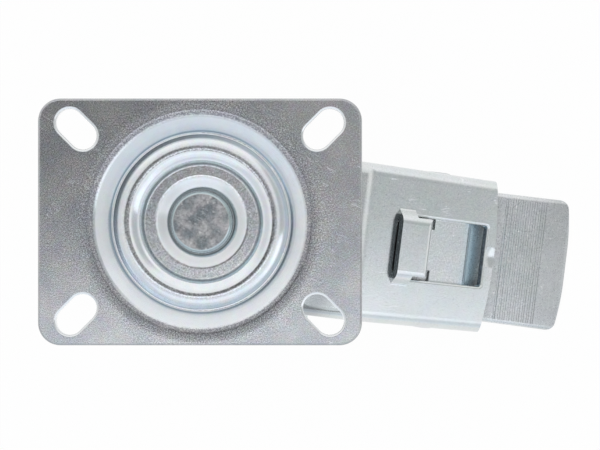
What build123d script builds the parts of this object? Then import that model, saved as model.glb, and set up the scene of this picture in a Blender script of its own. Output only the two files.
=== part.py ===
from build123d import *
import os
from math import asin, atan2, cos, floor, pi, radians, sin, sqrt, tan

# Swivel castor with a pressed plate, a riveted double ball race and a pedal brake.
# The origin is the middle of the plate's top face, on the swivel axis, with +Z up.
# U runs from the swivel axis along the fork to the pedal, V across it.

os.makedirs("parts", exist_ok=True)

# Distance within which an edge counts as lying on a face
ON_FACE = 0.01

# Mounting plate
PLATE_LENGTH = 105.0
PLATE_WIDTH = 80.0
PLATE_MARGIN = 4.4
PLATE_THICK = 3.0
PLATE_CORNER = 7.3
PLATE_EDGE_ROLL = 0.8
SLOT_INSET_X = 12.5
SLOT_INSET_Y = 10.0
SLOT_WIDTH = 9.0
SLOT_LENGTH = 15.0
SLOT_EDGE_ROLL = 1.2

# Pressed dish of the plate: the run and depth of each bend of its top face, from outside in
SLOPE_RUN = 6.4
VALLEY_RUN = 5.5
VALLEY_DEPTH = 5.5
CREST_RUN = 4.3
CREST_DEPTH = 2.9
FLOOR_RUN = 4.2
FLOOR_DEPTH = 7.0
SEAT_RUN = 4.0
SEAT_DEPTH = 8.4
DISH_BENDS = [2.2, 2.2, 3.6, 2.0, 2.0, 2.4]
VALLEY_OVERRUN = 0.3
CREST_OVERRUN = 1.5

# Swivel bearing
BALL_RADIUS = 3.175
BALL_PLAY = 0.15
BALL_SEAT_GAP = 0.03
BALL_SPACING = 1.06
PITCH_STEP = 7.7
RACE_WALL = 2.5
CUP_LIP_RUN = 4.8
CUP_WEB_OVERRUN = 1.5
CUP_BENDS = [1.4, 4.4]
ARCH_DROP = 0.4
ARCH_OVERRUN = 0.9
RACE_BENDS = [1.6, 2.6, 2.6]
RACE_SHOULDER = 3.4
RACE_LIP_RISE = 0.6

# Kingpin rivet
RIVET_LAND = 4.2
KINGPIN_CLEARANCE = 0.04
RIVET_HEAD_GAP = 0.7
RIVET_ROUNDING = 1.8
RIVET_HEAD_HEIGHT = 3.2
RIVET_HEAD_BARREL = 0.3
RIVET_TAIL_LIP = 2.6
RIVET_TAIL_HEIGHT = 2.8
RIVET_TAIL_BEVEL = 1.6

# Fork, one pressed sheet
SWIVEL_REST = -7.1
SHEET = 2.75
FORK_HALF_WIDTH = 26.7
FORK_BEND = 4.0
ROOF_DEPTH = 10.9
CROWN_EDGE_RUN = 3.7
CROWN_SKIRT = 6.5
CROWN_SHOULDER = 10.0
CROWN_FOOT_INSET = 0.7
CROWN_HOLE_RUN = 4.1
RACE_EDGE_RUN = 4.1
RACE_OVERLAP = 0.4
HOOD_BEND_U = 54.0
HOOD_BEND_RADIUS = 6.0
HOOD_END_U = 101.0
HOOD_SLOPE = 26.0
HOOD_END_BOW = 160.0
HOOD_END_WALL = 13.0
HOOD_CHIN_REACH = 11.0
HOOD_CHIN_DROP = 12.5
HOOD_FOOT_REACH = 13.0
HOOD_FOOT_DROP = 21.0
HOOD_CHIN_BENDS = [3.0, 5.0, 14.0]
LEG_BOSS_RADIUS = 13.0
LEG_BEND = 9.0
LEG_FRONT_U = 10.0

# Window and lanced bridge of the hood, measured along its slope
WINDOW_HALF_WIDTH = 10.6
WINDOW_START = 24.5
WINDOW_END = 48.3
WINDOW_CORNER = 0.9
WINDOW_ROLL = 0.9
BRIDGE_START = 12.2
BRIDGE_HALF_WIDTH = 12.0
BRIDGE_CREST_HALF_WIDTH = 9.0
BRIDGE_ARCH_LENGTH = 6.2
BRIDGE_SLIT = 0.3
BRIDGE_NOTCH = 1.2
BRIDGE_BEND = 2.4
BRIDGE_LIFT = 3.4
BRIDGE_ROLL = 2.2
DIMPLE_RADIUS = 3.6
DIMPLE_DEPTH = 0.6

# Wheel and axle
WHEEL_RADIUS = 50.0
TYRE_HALF_WIDTH = 17.5
TYRE_SHOULDER = 5.0
TYRE_FOOT_STEP = 0.3
TYRE_WALL_STEP = 1.0
TYRE_WALL_BEND = 1.5
TYRE_BEAD_BEND = 0.6
TREAD_DEPTH = 28.0
AXLE_U = 32.0
TYRE_DEPTH = 13.5
RIM_FLANGE_HEIGHT = 3.0
RIM_HALF_WIDTH = 14.0
DISC_THICK = 1.6
DISC_DISH_RUN = 8.5
DISC_RIVET_COUNT = 6
DISC_RIVET_RADIUS = 2.5
DISC_RIVET_HEAD = 1.5
DISC_RIVET_HEAD_HEIGHT = 1.6
DISC_RIVET_TAPER = 30
DISC_BENDS = [1.6, 4.0, 4.0, 1.2]
DISC_COLLAR_INSET = 5.0
HUB_RADIUS = 11.6
HUB_HALF_LENGTH = 19.0
BOLT_RADIUS = 4.0
BOLT_CLEARANCE = 0.1
TUBE_RADIUS = 6.0
ROLLER_RADIUS = 1.75
ROLLER_COUNT = 9
ROLLER_HALF_LENGTH = 15.0
CAGE_GAP = 0.5
CAGE_END = 1.5
RUNNING_GAP = 0.05
CAP_RADIUS = 15.0
CAP_THICK = 2.4
CAP_PLUG = 2.5
CAP_TAPER = 0.8
SIDE_GAP = 0.3
WASHER_RADIUS = 8.0
WASHER_THICK = 1.0
HEX_ACROSS = 13.0
HEX_CHAMFER = 0.8
BOLT_HEAD_HEIGHT = 5.3
NUT_HEIGHT = 6.5
THREAD_END = 1.5

# Pedal brake
PIN_TREAD_GAP = 12.0
PIN_ANGLE = 42.0
PIN_RADIUS = 3.0
PIN_HEAD_RADIUS = 4.6
PIN_HEAD_HEIGHT = 0.5
PIN_HEAD_TAPER = 35
PIN_CLEARANCE = 0.06
PEDAL_TRAVEL = 25.0
PEDAL_HALF_WIDTH = 23.1
PEDAL_THICK = 2.5
PEDAL_FLANGE = 6.0
PEDAL_TIP_U = 127.2
PEDAL_RISE = 8.0
PEDAL_DROP = 4.6
PEDAL_EAR_RADIUS = 7.5
PEDAL_TIP_CORNER = 3.4
PEDAL_TIP_RAKE = 0.6
PEDAL_EDGE_INSET = 1.5
PEDAL_EAR_NOSE = 2.0
PEDAL_EAR_BACK = 1.0
PEDAL_BENDS = [1.0, 3.0, 3.0, 1.5, 5.0, 1.0, 2.0, 8.0, 4.0, 4.0, 5.0]
CAM_INNER_BEND = 0.5
ROLL_START = 3.0
PEDAL_TIP_BOW = 133.0
PEDAL_EDGE_ROLL = 1.6
CAM_FRONT = 8.0
CAM_REAR = 4.0
CAM_GAP = 0.3
STEP_RUN = 4.0
STEP_LIFT = 2.2
GROOVE_COUNT = 9
GROOVE_PITCH = 1.65
GROOVE_START_U = 104.5
GROOVE_RADIUS = 0.45
SHOE_THICK = 4.0
SHOE_START = 3.9
SHOE_ANGLE = -86.0
SHOE_OVERRUN = 3.4
SHOE_TENON = 3.0
SHOE_SHOULDER = 0.5
SHOE_SIDE_GAP = 0.05
TOOTH_PITCH = 4.0
TOOTH_DEPTH = 1.4
TOOTH_COUNT = 9
TOOTH_REACH = 0.9
TREAD_GAP = 0.3
SPRING_THICK = 1.2
SPRING_HALF_WIDTH = 12.4
SPRING_TONGUE_HALF_WIDTH = 7.0
SPRING_END = 42.6
SPRING_STEP_BACK = 1.5
SPRING_STEP_RUN = 2.5
SPRING_CURL_RUN = 2.6
SPRING_CURL_DROP = 3.6
SPRING_BENDS = [1.6, 1.6, 2.6]
SPRING_SHOULDER = 4.0
SPRING_GAP = 0.05

# The plate's width sets the dish, and the dish sets the ball rows, the rivet and the fork's crown
SLOT_SPACING_X = PLATE_LENGTH - 2 * SLOT_INSET_X
SLOT_SPACING_Y = PLATE_WIDTH - 2 * SLOT_INSET_Y
DISH_RADIUS = PLATE_WIDTH / 2 - PLATE_MARGIN
VALLEY_RADIUS = DISH_RADIUS - SLOPE_RUN
UPPER_PITCH = VALLEY_RADIUS - VALLEY_RUN
FLOOR_OUTER_RADIUS = UPPER_PITCH - CREST_RUN
FLOOR_INNER_RADIUS = FLOOR_OUTER_RADIUS - FLOOR_RUN
SEAT_RADIUS = FLOOR_INNER_RADIUS - SEAT_RUN
KINGPIN_RADIUS = SEAT_RADIUS - RIVET_LAND
RIVET_HEAD_RADIUS = SEAT_RADIUS - RIVET_HEAD_GAP
RIVET_FACE_RADIUS = RIVET_HEAD_RADIUS - RIVET_ROUNDING
RIVET_TAIL_RADIUS = KINGPIN_RADIUS + RIVET_TAIL_LIP
LOWER_PITCH = UPPER_PITCH - PITCH_STEP
CUP_LIP_RADIUS = LOWER_PITCH + CUP_LIP_RUN
CROWN_HOLE_RADIUS = LOWER_PITCH - CROWN_HOLE_RUN
RACE_EDGE_RADIUS = UPPER_PITCH + RACE_EDGE_RUN
CROWN_RADIUS = RACE_EDGE_RADIUS + CROWN_EDGE_RUN

# The wheel's radius sets the rim, the axle's height and the place of the brake's pin
AXLE_DEPTH = WHEEL_RADIUS + TREAD_DEPTH
RIM_SEAT_RADIUS = WHEEL_RADIUS - TYRE_DEPTH
RIM_FLANGE_RADIUS = RIM_SEAT_RADIUS + RIM_FLANGE_HEIGHT
DISC_WEB_RADIUS = RIM_SEAT_RADIUS - DISC_DISH_RUN
DISC_RIVET_CIRCLE = (HUB_RADIUS + DISC_THICK + DISC_WEB_RADIUS) / 2
PIN_REACH = WHEEL_RADIUS + PIN_TREAD_GAP
SHOE_LENGTH = PIN_TREAD_GAP + SHOE_OVERRUN - SHOE_START
TOOTH_EDGE = PIN_TREAD_GAP + TOOTH_REACH

# Planes and axes of the turned fork
TURN = radians(SWIVEL_REST)
U_DIR = Vector(cos(TURN), sin(TURN), 0)
V_DIR = Vector(-sin(TURN), cos(TURN), 0)
PLAN = Plane(origin=(0, 0, 0), x_dir=U_DIR, z_dir=(0, 0, 1))
SIDE = Plane(origin=(0, 0, 0), x_dir=U_DIR, z_dir=-V_DIR)
AXLE_POINT = SIDE.from_local_coords((AXLE_U, -AXLE_DEPTH, 0))
AXLE = Axis(AXLE_POINT, V_DIR)
WHEEL_SECTION = Plane(origin=AXLE_POINT, x_dir=U_DIR, z_dir=(0, 0, 1))
WHEEL_SIDE = Plane(origin=AXLE_POINT, x_dir=U_DIR, z_dir=-V_DIR)
SLOPE = radians(HOOD_SLOPE)
HOOD_POINT = SIDE.from_local_coords((HOOD_BEND_U, -ROOF_DEPTH, 0))
SLOPE_DIR = U_DIR * cos(SLOPE) - Vector(0, 0, sin(SLOPE))
HOOD_ROOF = Plane(origin=HOOD_POINT, x_dir=SLOPE_DIR, z_dir=U_DIR * sin(SLOPE) + Vector(0, 0, cos(SLOPE)))
HOOD_SIDE = Plane(origin=HOOD_POINT, x_dir=SLOPE_DIR, z_dir=-V_DIR)

# The ball rows sit between the plate's crest and the lower cup
UPPER_BALL_Z = -(CREST_DEPTH + PLATE_THICK + BALL_PLAY + BALL_RADIUS)
UPPER_RACE_RADIUS = BALL_RADIUS + BALL_PLAY
SEAT_RACE_RADIUS = BALL_RADIUS + BALL_SEAT_GAP
CROWN_MID_Z = -(ROOF_DEPTH + SHEET / 2)
ARCH_TOP_Z = CROWN_MID_Z - ARCH_DROP
LOWER_BALL_Z = ARCH_TOP_Z - SHEET / 2 - SEAT_RACE_RADIUS
CUP_BOTTOM_Z = LOWER_BALL_Z - UPPER_RACE_RADIUS - RACE_WALL
SEAT_UNDER_Z = -(SEAT_DEPTH + PLATE_THICK)

# Upper rings of the dish, which the plate's underside repeats one thickness lower
with BuildPart() as top_plate:
    with BuildSketch(Plane.XY.offset(-PLATE_THICK)):
        RectangleRounded(PLATE_LENGTH, PLATE_WIDTH, PLATE_CORNER)
        Circle(DISH_RADIUS + PLATE_THICK, mode=Mode.SUBTRACT)
    extrude(amount=PLATE_THICK)
    with BuildSketch(Plane.XZ):
        with BuildLine() as dish_line:
            FilletPolyline(
                (DISH_RADIUS + PLATE_THICK, -PLATE_THICK / 2),
                (DISH_RADIUS, -PLATE_THICK / 2),
                (VALLEY_RADIUS, -VALLEY_DEPTH - PLATE_THICK / 2 - VALLEY_OVERRUN),
                (UPPER_PITCH, -CREST_DEPTH - PLATE_THICK / 2 + CREST_OVERRUN),
                (FLOOR_OUTER_RADIUS, -FLOOR_DEPTH - PLATE_THICK / 2),
                (FLOOR_INNER_RADIUS, -FLOOR_DEPTH - PLATE_THICK / 2),
                (SEAT_RADIUS, -SEAT_DEPTH - PLATE_THICK / 2),
                (KINGPIN_RADIUS + KINGPIN_CLEARANCE, -SEAT_DEPTH - PLATE_THICK / 2),
                radius=DISH_BENDS,
            )
        trace(line_width=PLATE_THICK)
    revolve(axis=Axis.Z)
    with BuildSketch(Plane.XZ):
        with Locations((UPPER_PITCH, UPPER_BALL_Z)):
            Circle(UPPER_RACE_RADIUS)
    revolve(axis=Axis.Z, mode=Mode.SUBTRACT)
    with BuildSketch():
        for side_x in (-1, 1):
            for side_y in (-1, 1):
                with Locations(Location((side_x * SLOT_SPACING_X / 2, side_y * SLOT_SPACING_Y / 2, 0),
                                        (0, 0, 45 * side_x * side_y))):
                    SlotOverall(SLOT_LENGTH, SLOT_WIDTH)
    extrude(amount=-PLATE_THICK, mode=Mode.SUBTRACT)
    top_face = top_plate.faces().sort_by(Axis.Z)[-1]
    fillet(top_face.outer_wire().edges(), PLATE_EDGE_ROLL)
    slot_edges = top_plate.faces().filter_by(Plane.XY).sort_by(SortBy.AREA)[-1].inner_wires()
    fillet([e for w in slot_edges for e in w.edges() if w.length < 2 * pi * VALLEY_RADIUS], SLOT_EDGE_ROLL)
top_plate.part.label = "top_plate"
export_step(top_plate.part, "parts/top_plate.step")

with BuildPart() as kingpin_rivet:
    with BuildSketch(Plane.XZ):
        with BuildLine():
            Polyline(
                (0, CUP_BOTTOM_Z - RIVET_TAIL_HEIGHT),
                (RIVET_TAIL_RADIUS - RIVET_TAIL_BEVEL, CUP_BOTTOM_Z - RIVET_TAIL_HEIGHT),
                (RIVET_TAIL_RADIUS, CUP_BOTTOM_Z - RIVET_TAIL_HEIGHT + RIVET_TAIL_BEVEL),
                (RIVET_TAIL_RADIUS, CUP_BOTTOM_Z),
                (KINGPIN_RADIUS, CUP_BOTTOM_Z),
                (KINGPIN_RADIUS, -SEAT_DEPTH),
                (RIVET_HEAD_RADIUS, -SEAT_DEPTH),
            )
            Spline(
                (RIVET_HEAD_RADIUS, -SEAT_DEPTH),
                (RIVET_HEAD_RADIUS - RIVET_HEAD_BARREL, -SEAT_DEPTH + 0.6 * RIVET_HEAD_HEIGHT),
                (RIVET_FACE_RADIUS, -SEAT_DEPTH + RIVET_HEAD_HEIGHT),
                tangents=[(0, 1), (-1, 0)],
            )
            Polyline(
                (RIVET_FACE_RADIUS, -SEAT_DEPTH + RIVET_HEAD_HEIGHT),
                (0, -SEAT_DEPTH + RIVET_HEAD_HEIGHT),
                (0, CUP_BOTTOM_Z - RIVET_TAIL_HEIGHT),
            )
        make_face()
    revolve(axis=Axis.Z)
kingpin_rivet.part.label = "kingpin_rivet"
export_step(kingpin_rivet.part, "parts/kingpin_rivet.step")

# The cup's collar stands on the plate's underside, so the rivet clamps the two together
with BuildPart() as lower_race_cup:
    collar_mid = KINGPIN_RADIUS + KINGPIN_CLEARANCE + RACE_WALL / 2
    with BuildSketch(Plane.XZ):
        with BuildLine():
            FilletPolyline(
                (collar_mid, SEAT_UNDER_Z),
                (collar_mid, CUP_BOTTOM_Z + RACE_WALL / 2),
                (LOWER_PITCH + CUP_WEB_OVERRUN, CUP_BOTTOM_Z + RACE_WALL / 2),
                (CUP_LIP_RADIUS, LOWER_BALL_Z),
                radius=CUP_BENDS,
            )
        trace(line_width=RACE_WALL)
        with Locations((LOWER_PITCH, LOWER_BALL_Z)):
            Circle(UPPER_RACE_RADIUS, mode=Mode.SUBTRACT)
    revolve(axis=Axis.Z)
lower_race_cup.part.label = "lower_race_cup"
export_step(lower_race_cup.part, "parts/lower_race_cup.step")

with BuildPart() as upper_balls:
    upper_count = floor(2 * pi * UPPER_PITCH / (2 * BALL_RADIUS * BALL_SPACING))
    with Locations((0, 0, UPPER_BALL_Z)):
        with PolarLocations(UPPER_PITCH, upper_count):
            Sphere(BALL_RADIUS)
upper_balls.part.label = "upper_balls"
export_step(upper_balls.part, "parts/upper_balls.step")

with BuildPart() as lower_balls:
    lower_count = floor(2 * pi * LOWER_PITCH / (2 * BALL_RADIUS * BALL_SPACING))
    with Locations((0, 0, LOWER_BALL_Z)):
        with PolarLocations(LOWER_PITCH, lower_count):
            Sphere(BALL_RADIUS)
lower_balls.part.label = "lower_balls"
export_step(lower_balls.part, "parts/lower_balls.step")

# Brake geometry: the pedal's cam has one flat for each of its two places under the spring
PIN_U = AXLE_U + PIN_REACH * cos(radians(PIN_ANGLE))
PIN_Z = -AXLE_DEPTH + PIN_REACH * sin(radians(PIN_ANGLE))
PIN_POINT = SIDE.from_local_coords((PIN_U, PIN_Z, 0))
PIN_SIDE = Plane(origin=PIN_POINT, x_dir=U_DIR, z_dir=-V_DIR)
PIN_BELOW_ROOF = (-ROOF_DEPTH - PIN_Z) * cos(SLOPE) - (PIN_U - HOOD_BEND_U) * sin(SLOPE)
SPRING_TOP = -(SHEET + SPRING_GAP)
CAM_HEIGHT = PIN_BELOW_ROOF + SPRING_TOP - SPRING_THICK - CAM_GAP
CAM_HALF_TURN = radians(PEDAL_TRAVEL / 2)
RIDGE_ANGLE = radians(90 - HOOD_SLOPE) + CAM_HALF_TURN
RIDGE_DISTANCE = CAM_HEIGHT / cos(CAM_HALF_TURN)
RIDGE = (RIDGE_DISTANCE * cos(RIDGE_ANGLE), RIDGE_DISTANCE * sin(RIDGE_ANGLE))

# Side outline of the legs and the hood's walls
HOOD_END_Z = -ROOF_DEPTH - (HOOD_END_U - HOOD_BEND_U) * tan(SLOPE)
CROWN_BOTTOM_Z = -ROOF_DEPTH - CROWN_SKIRT - CROWN_SHOULDER
CROWN_MEET_U = sqrt(CROWN_RADIUS**2 - FORK_HALF_WIDTH**2)
LEG_FRONT_Z = CROWN_BOTTOM_Z + CROWN_SHOULDER * LEG_FRONT_U / CROWN_MEET_U
FORK_INNER_HALF_WIDTH = FORK_HALF_WIDTH - SHEET
LEG_LOW_Z = -AXLE_DEPTH - 2 * LEG_BOSS_RADIUS


def boss_tangent(start: tuple[float, float], turn: int) -> tuple[float, float]:
    """Point where a line from start touches the leg's round end, on the side that turn names."""
    away_u = start[0] - AXLE_U
    away_z = start[1] + AXLE_DEPTH
    reach = sqrt(away_u**2 + away_z**2)
    angle = atan2(away_z, away_u) + turn * (pi / 2 - asin(LEG_BOSS_RADIUS / reach))
    return AXLE_U + LEG_BOSS_RADIUS * cos(angle), -AXLE_DEPTH + LEG_BOSS_RADIUS * sin(angle)


def on_roof_shoulder(edge: Edge, half_width: float, depth: float) -> bool:
    """True for the long edges between the roof and the walls of the channel."""
    middle = SIDE.to_local_coords(edge @ 0.5)
    roof_z = -depth - max(0.0, middle.X - HOOD_BEND_U) * tan(SLOPE)
    return abs(abs(middle.Z) - half_width) < ON_FACE and middle.Y > roof_z - SHEET / 2


# Hollow of the fork, one sheet thickness inside its skin
with BuildPart() as fork_hollow:
    inner_bend_u = HOOD_BEND_U - SHEET * tan(SLOPE / 2)
    far_u = HOOD_END_U + LEG_BOSS_RADIUS
    far_z = -ROOF_DEPTH - SHEET - (far_u - inner_bend_u) * tan(SLOPE)
    with BuildSketch(SIDE):
        with BuildLine():
            FilletPolyline(
                (0, -ROOF_DEPTH - SHEET),
                (inner_bend_u, -ROOF_DEPTH - SHEET),
                (far_u, far_z),
                (far_u, LEG_LOW_Z),
                (0, LEG_LOW_Z),
                radius=[0, HOOD_BEND_RADIUS - SHEET, 0, 0, 0],
                close=True,
            )
        make_face()
    extrude(amount=FORK_INNER_HALF_WIDTH, both=True)
    inner_shoulders = fork_hollow.edges().filter_by(
        lambda e: on_roof_shoulder(e, FORK_INNER_HALF_WIDTH, ROOF_DEPTH + SHEET)
    )
    fillet(inner_shoulders, FORK_BEND - SHEET)
    with BuildSketch(Plane.XZ):
        with BuildLine():
            FilletPolyline(
                (0, -ROOF_DEPTH - SHEET),
                (CROWN_RADIUS - SHEET, -ROOF_DEPTH - SHEET),
                (CROWN_RADIUS - SHEET, -ROOF_DEPTH - CROWN_SKIRT),
                (FORK_INNER_HALF_WIDTH - CROWN_FOOT_INSET, CROWN_BOTTOM_Z),
                (0, CROWN_BOTTOM_Z),
                radius=[0, FORK_BEND - SHEET, CROWN_SKIRT / 2, 0, 0],
                close=True,
            )
        make_face()
    revolve(axis=Axis.Z)

with BuildPart() as fork:
    crown_side = (0.0, CROWN_BOTTOM_Z)
    hood_foot = (PIN_U - HOOD_FOOT_REACH, PIN_Z - HOOD_FOOT_DROP)
    with BuildSketch(SIDE):
        with BuildLine():
            FilletPolyline(
                (-LEG_FRONT_U, -ROOF_DEPTH),
                (HOOD_BEND_U, -ROOF_DEPTH),
                (HOOD_END_U, HOOD_END_Z),
                (HOOD_END_U - SHEET * sin(SLOPE), HOOD_END_Z - HOOD_END_WALL),
                (PIN_U + HOOD_CHIN_REACH, PIN_Z - HOOD_CHIN_DROP),
                hood_foot,
                boss_tangent(hood_foot, -1),
                boss_tangent(crown_side, 1),
                crown_side,
                (-LEG_FRONT_U, LEG_FRONT_Z),
                radius=[0, HOOD_BEND_RADIUS, 0, *HOOD_CHIN_BENDS, 0, 0, LEG_BEND, 0],
                close=True,
            )
        make_face()
        with Locations((AXLE_U, -AXLE_DEPTH)):
            Circle(LEG_BOSS_RADIUS)
    extrude(amount=FORK_HALF_WIDTH, both=True)
    outer_shoulders = fork.edges().filter_by(lambda e: on_roof_shoulder(e, FORK_HALF_WIDTH, ROOF_DEPTH))
    fillet(outer_shoulders, FORK_BEND)
    with BuildSketch(Plane.XZ):
        with BuildLine():
            FilletPolyline(
                (0, -ROOF_DEPTH),
                (CROWN_RADIUS, -ROOF_DEPTH),
                (CROWN_RADIUS, -ROOF_DEPTH - CROWN_SKIRT),
                (FORK_HALF_WIDTH - CROWN_FOOT_INSET, CROWN_BOTTOM_Z),
                (0, CROWN_BOTTOM_Z),
                radius=[0, FORK_BEND, (CROWN_SKIRT + SHEET) / 2, 0, 0],
                close=True,
            )
        make_face()
    revolve(axis=Axis.Z)
    add(fork_hollow.part, mode=Mode.SUBTRACT)

    # The crown's middle is pressed into two ball races
    with BuildSketch(Plane.XY.offset(-ROOF_DEPTH - 2 * SHEET)):
        Circle(RACE_EDGE_RADIUS)
    extrude(amount=3 * SHEET, mode=Mode.SUBTRACT)
    with BuildSketch(Plane.XZ):
        with BuildLine():
            FilletPolyline(
                (RACE_EDGE_RADIUS + RACE_OVERLAP, CROWN_MID_Z),
                (UPPER_PITCH + RACE_SHOULDER, CROWN_MID_Z),
                (UPPER_PITCH, UPPER_BALL_Z - SEAT_RACE_RADIUS - SHEET / 2 - ARCH_OVERRUN),
                (LOWER_PITCH, ARCH_TOP_Z + ARCH_OVERRUN),
                (CROWN_HOLE_RADIUS, LOWER_BALL_Z + BALL_RADIUS - RACE_LIP_RISE),
                radius=RACE_BENDS,
            )
        trace(line_width=SHEET)
        with Locations((UPPER_PITCH, UPPER_BALL_Z), (LOWER_PITCH, LOWER_BALL_Z)):
            Circle(SEAT_RACE_RADIUS, mode=Mode.SUBTRACT)
    revolve(axis=Axis.Z)

    # Window with a rolled edge, and in front of it a lanced bridge whose back half is a free tongue
    arch_end = BRIDGE_START + BRIDGE_ARCH_LENGTH
    with BuildSketch(HOOD_ROOF):
        with Locations(((arch_end + WINDOW_END) / 2, 0)):
            RectangleRounded(WINDOW_END - arch_end, 2 * WINDOW_HALF_WIDTH, WINDOW_CORNER)
        with Locations(((BRIDGE_START + arch_end + BRIDGE_SLIT) / 2, 0)):
            Rectangle(arch_end + BRIDGE_SLIT - BRIDGE_START, 2 * BRIDGE_HALF_WIDTH)
    extrude(amount=-2 * SHEET, mode=Mode.SUBTRACT)
    window_rim = [
        e for e in fork.edges()
        if abs(HOOD_ROOF.to_local_coords(e @ 0.5).Z) < ON_FACE
        and arch_end + BRIDGE_SLIT + ON_FACE < HOOD_ROOF.to_local_coords(e @ 0.5).X < WINDOW_END + ON_FACE
        and abs(HOOD_ROOF.to_local_coords(e @ 0.5).Y) < WINDOW_HALF_WIDTH + ON_FACE
    ]
    fillet(window_rim, WINDOW_ROLL)
    bridge_face = Plane(origin=HOOD_ROOF.from_local_coords((BRIDGE_START, 0, 0)), x_dir=V_DIR, z_dir=SLOPE_DIR)
    with BuildSketch(bridge_face):
        with BuildLine():
            FilletPolyline(
                (-BRIDGE_HALF_WIDTH - SHEET / 2, -SHEET / 2),
                (-BRIDGE_HALF_WIDTH, -SHEET / 2),
                (-BRIDGE_CREST_HALF_WIDTH, BRIDGE_LIFT - SHEET / 2),
                (BRIDGE_CREST_HALF_WIDTH, BRIDGE_LIFT - SHEET / 2),
                (BRIDGE_HALF_WIDTH, -SHEET / 2),
                (BRIDGE_HALF_WIDTH + SHEET / 2, -SHEET / 2),
                radius=BRIDGE_BEND,
            )
        trace(line_width=SHEET)
    extrude(amount=BRIDGE_ARCH_LENGTH)
    tongue_edge = WINDOW_HALF_WIDTH - BRIDGE_SLIT
    tongue_face = Plane(origin=HOOD_ROOF.from_local_coords((arch_end, 0, 0)), x_dir=V_DIR, z_dir=SLOPE_DIR)
    with BuildSketch(tongue_face):
        with BuildLine():
            FilletPolyline(
                (-BRIDGE_HALF_WIDTH, -SHEET / 2),
                (-BRIDGE_CREST_HALF_WIDTH, BRIDGE_LIFT - SHEET / 2),
                (BRIDGE_CREST_HALF_WIDTH, BRIDGE_LIFT - SHEET / 2),
                (BRIDGE_HALF_WIDTH, -SHEET / 2),
                radius=BRIDGE_BEND,
            )
        trace(line_width=SHEET)
        with Locations(((BRIDGE_NOTCH - BRIDGE_SLIT) / 2, BRIDGE_LIFT)):
            Rectangle(2 * tongue_edge - BRIDGE_NOTCH + BRIDGE_SLIT, 4 * BRIDGE_LIFT, mode=Mode.INTERSECT)
    extrude(amount=WINDOW_START - arch_end)
    with BuildSketch(HOOD_SIDE):
        with Locations((WINDOW_START, BRIDGE_LIFT)):
            Rectangle(2 * BRIDGE_ROLL, 2 * BRIDGE_ROLL)
        with Locations((WINDOW_START - BRIDGE_ROLL, BRIDGE_LIFT - BRIDGE_ROLL)):
            Circle(BRIDGE_ROLL, mode=Mode.SUBTRACT)
    extrude(amount=BRIDGE_HALF_WIDTH, both=True, mode=Mode.SUBTRACT)

    # Pressed dimple behind the window, and the holes for the axle and the brake pin
    dimple_x = (WINDOW_END + (HOOD_END_U - HOOD_BEND_U) / cos(SLOPE)) / 2
    dimple_ball = (DIMPLE_RADIUS**2 + DIMPLE_DEPTH**2) / (2 * DIMPLE_DEPTH)
    with Locations(HOOD_ROOF.from_local_coords((dimple_x, 0, dimple_ball - DIMPLE_DEPTH))):
        Sphere(dimple_ball, mode=Mode.SUBTRACT)
    with BuildSketch(SIDE):
        with Locations((AXLE_U, -AXLE_DEPTH)):
            Circle(BOLT_RADIUS + BOLT_CLEARANCE)
        with Locations((PIN_U, PIN_Z)):
            Circle(PIN_RADIUS + KINGPIN_CLEARANCE)
    extrude(amount=2 * FORK_HALF_WIDTH, both=True, mode=Mode.SUBTRACT)

    # The hood's end is slightly bowed
    with BuildSketch(PLAN.offset(-2 * AXLE_DEPTH)):
        with Locations((HOOD_END_U - HOOD_END_BOW, 0)):
            Circle(HOOD_END_BOW)
    extrude(amount=2 * AXLE_DEPTH, mode=Mode.INTERSECT)
fork.part.label = "fork"
export_step(fork.part, "parts/fork.step")

# Wheel: rubber tyre on two pressed discs, riveted together around a hub tube
with BuildPart() as tyre:
    with BuildSketch(WHEEL_SECTION):
        with BuildLine():
            FilletPolyline(
                (RIM_SEAT_RADIUS, -RIM_HALF_WIDTH + DISC_THICK),
                (RIM_FLANGE_RADIUS + TYRE_FOOT_STEP, -RIM_HALF_WIDTH + DISC_THICK),
                (RIM_FLANGE_RADIUS + TYRE_WALL_STEP, -TYRE_HALF_WIDTH),
                (WHEEL_RADIUS, -TYRE_HALF_WIDTH),
                (WHEEL_RADIUS, TYRE_HALF_WIDTH),
                (RIM_FLANGE_RADIUS + TYRE_WALL_STEP, TYRE_HALF_WIDTH),
                (RIM_FLANGE_RADIUS + TYRE_FOOT_STEP, RIM_HALF_WIDTH - DISC_THICK),
                (RIM_SEAT_RADIUS, RIM_HALF_WIDTH - DISC_THICK),
                radius=[
                    TYRE_BEAD_BEND, 0, TYRE_WALL_BEND, TYRE_SHOULDER,
                    TYRE_SHOULDER, TYRE_WALL_BEND, 0, TYRE_BEAD_BEND,
                ],
                close=True,
            )
        make_face()
    revolve(axis=AXLE)
tyre.part.label = "tyre"
export_step(tyre.part, "parts/tyre.step")

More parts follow.
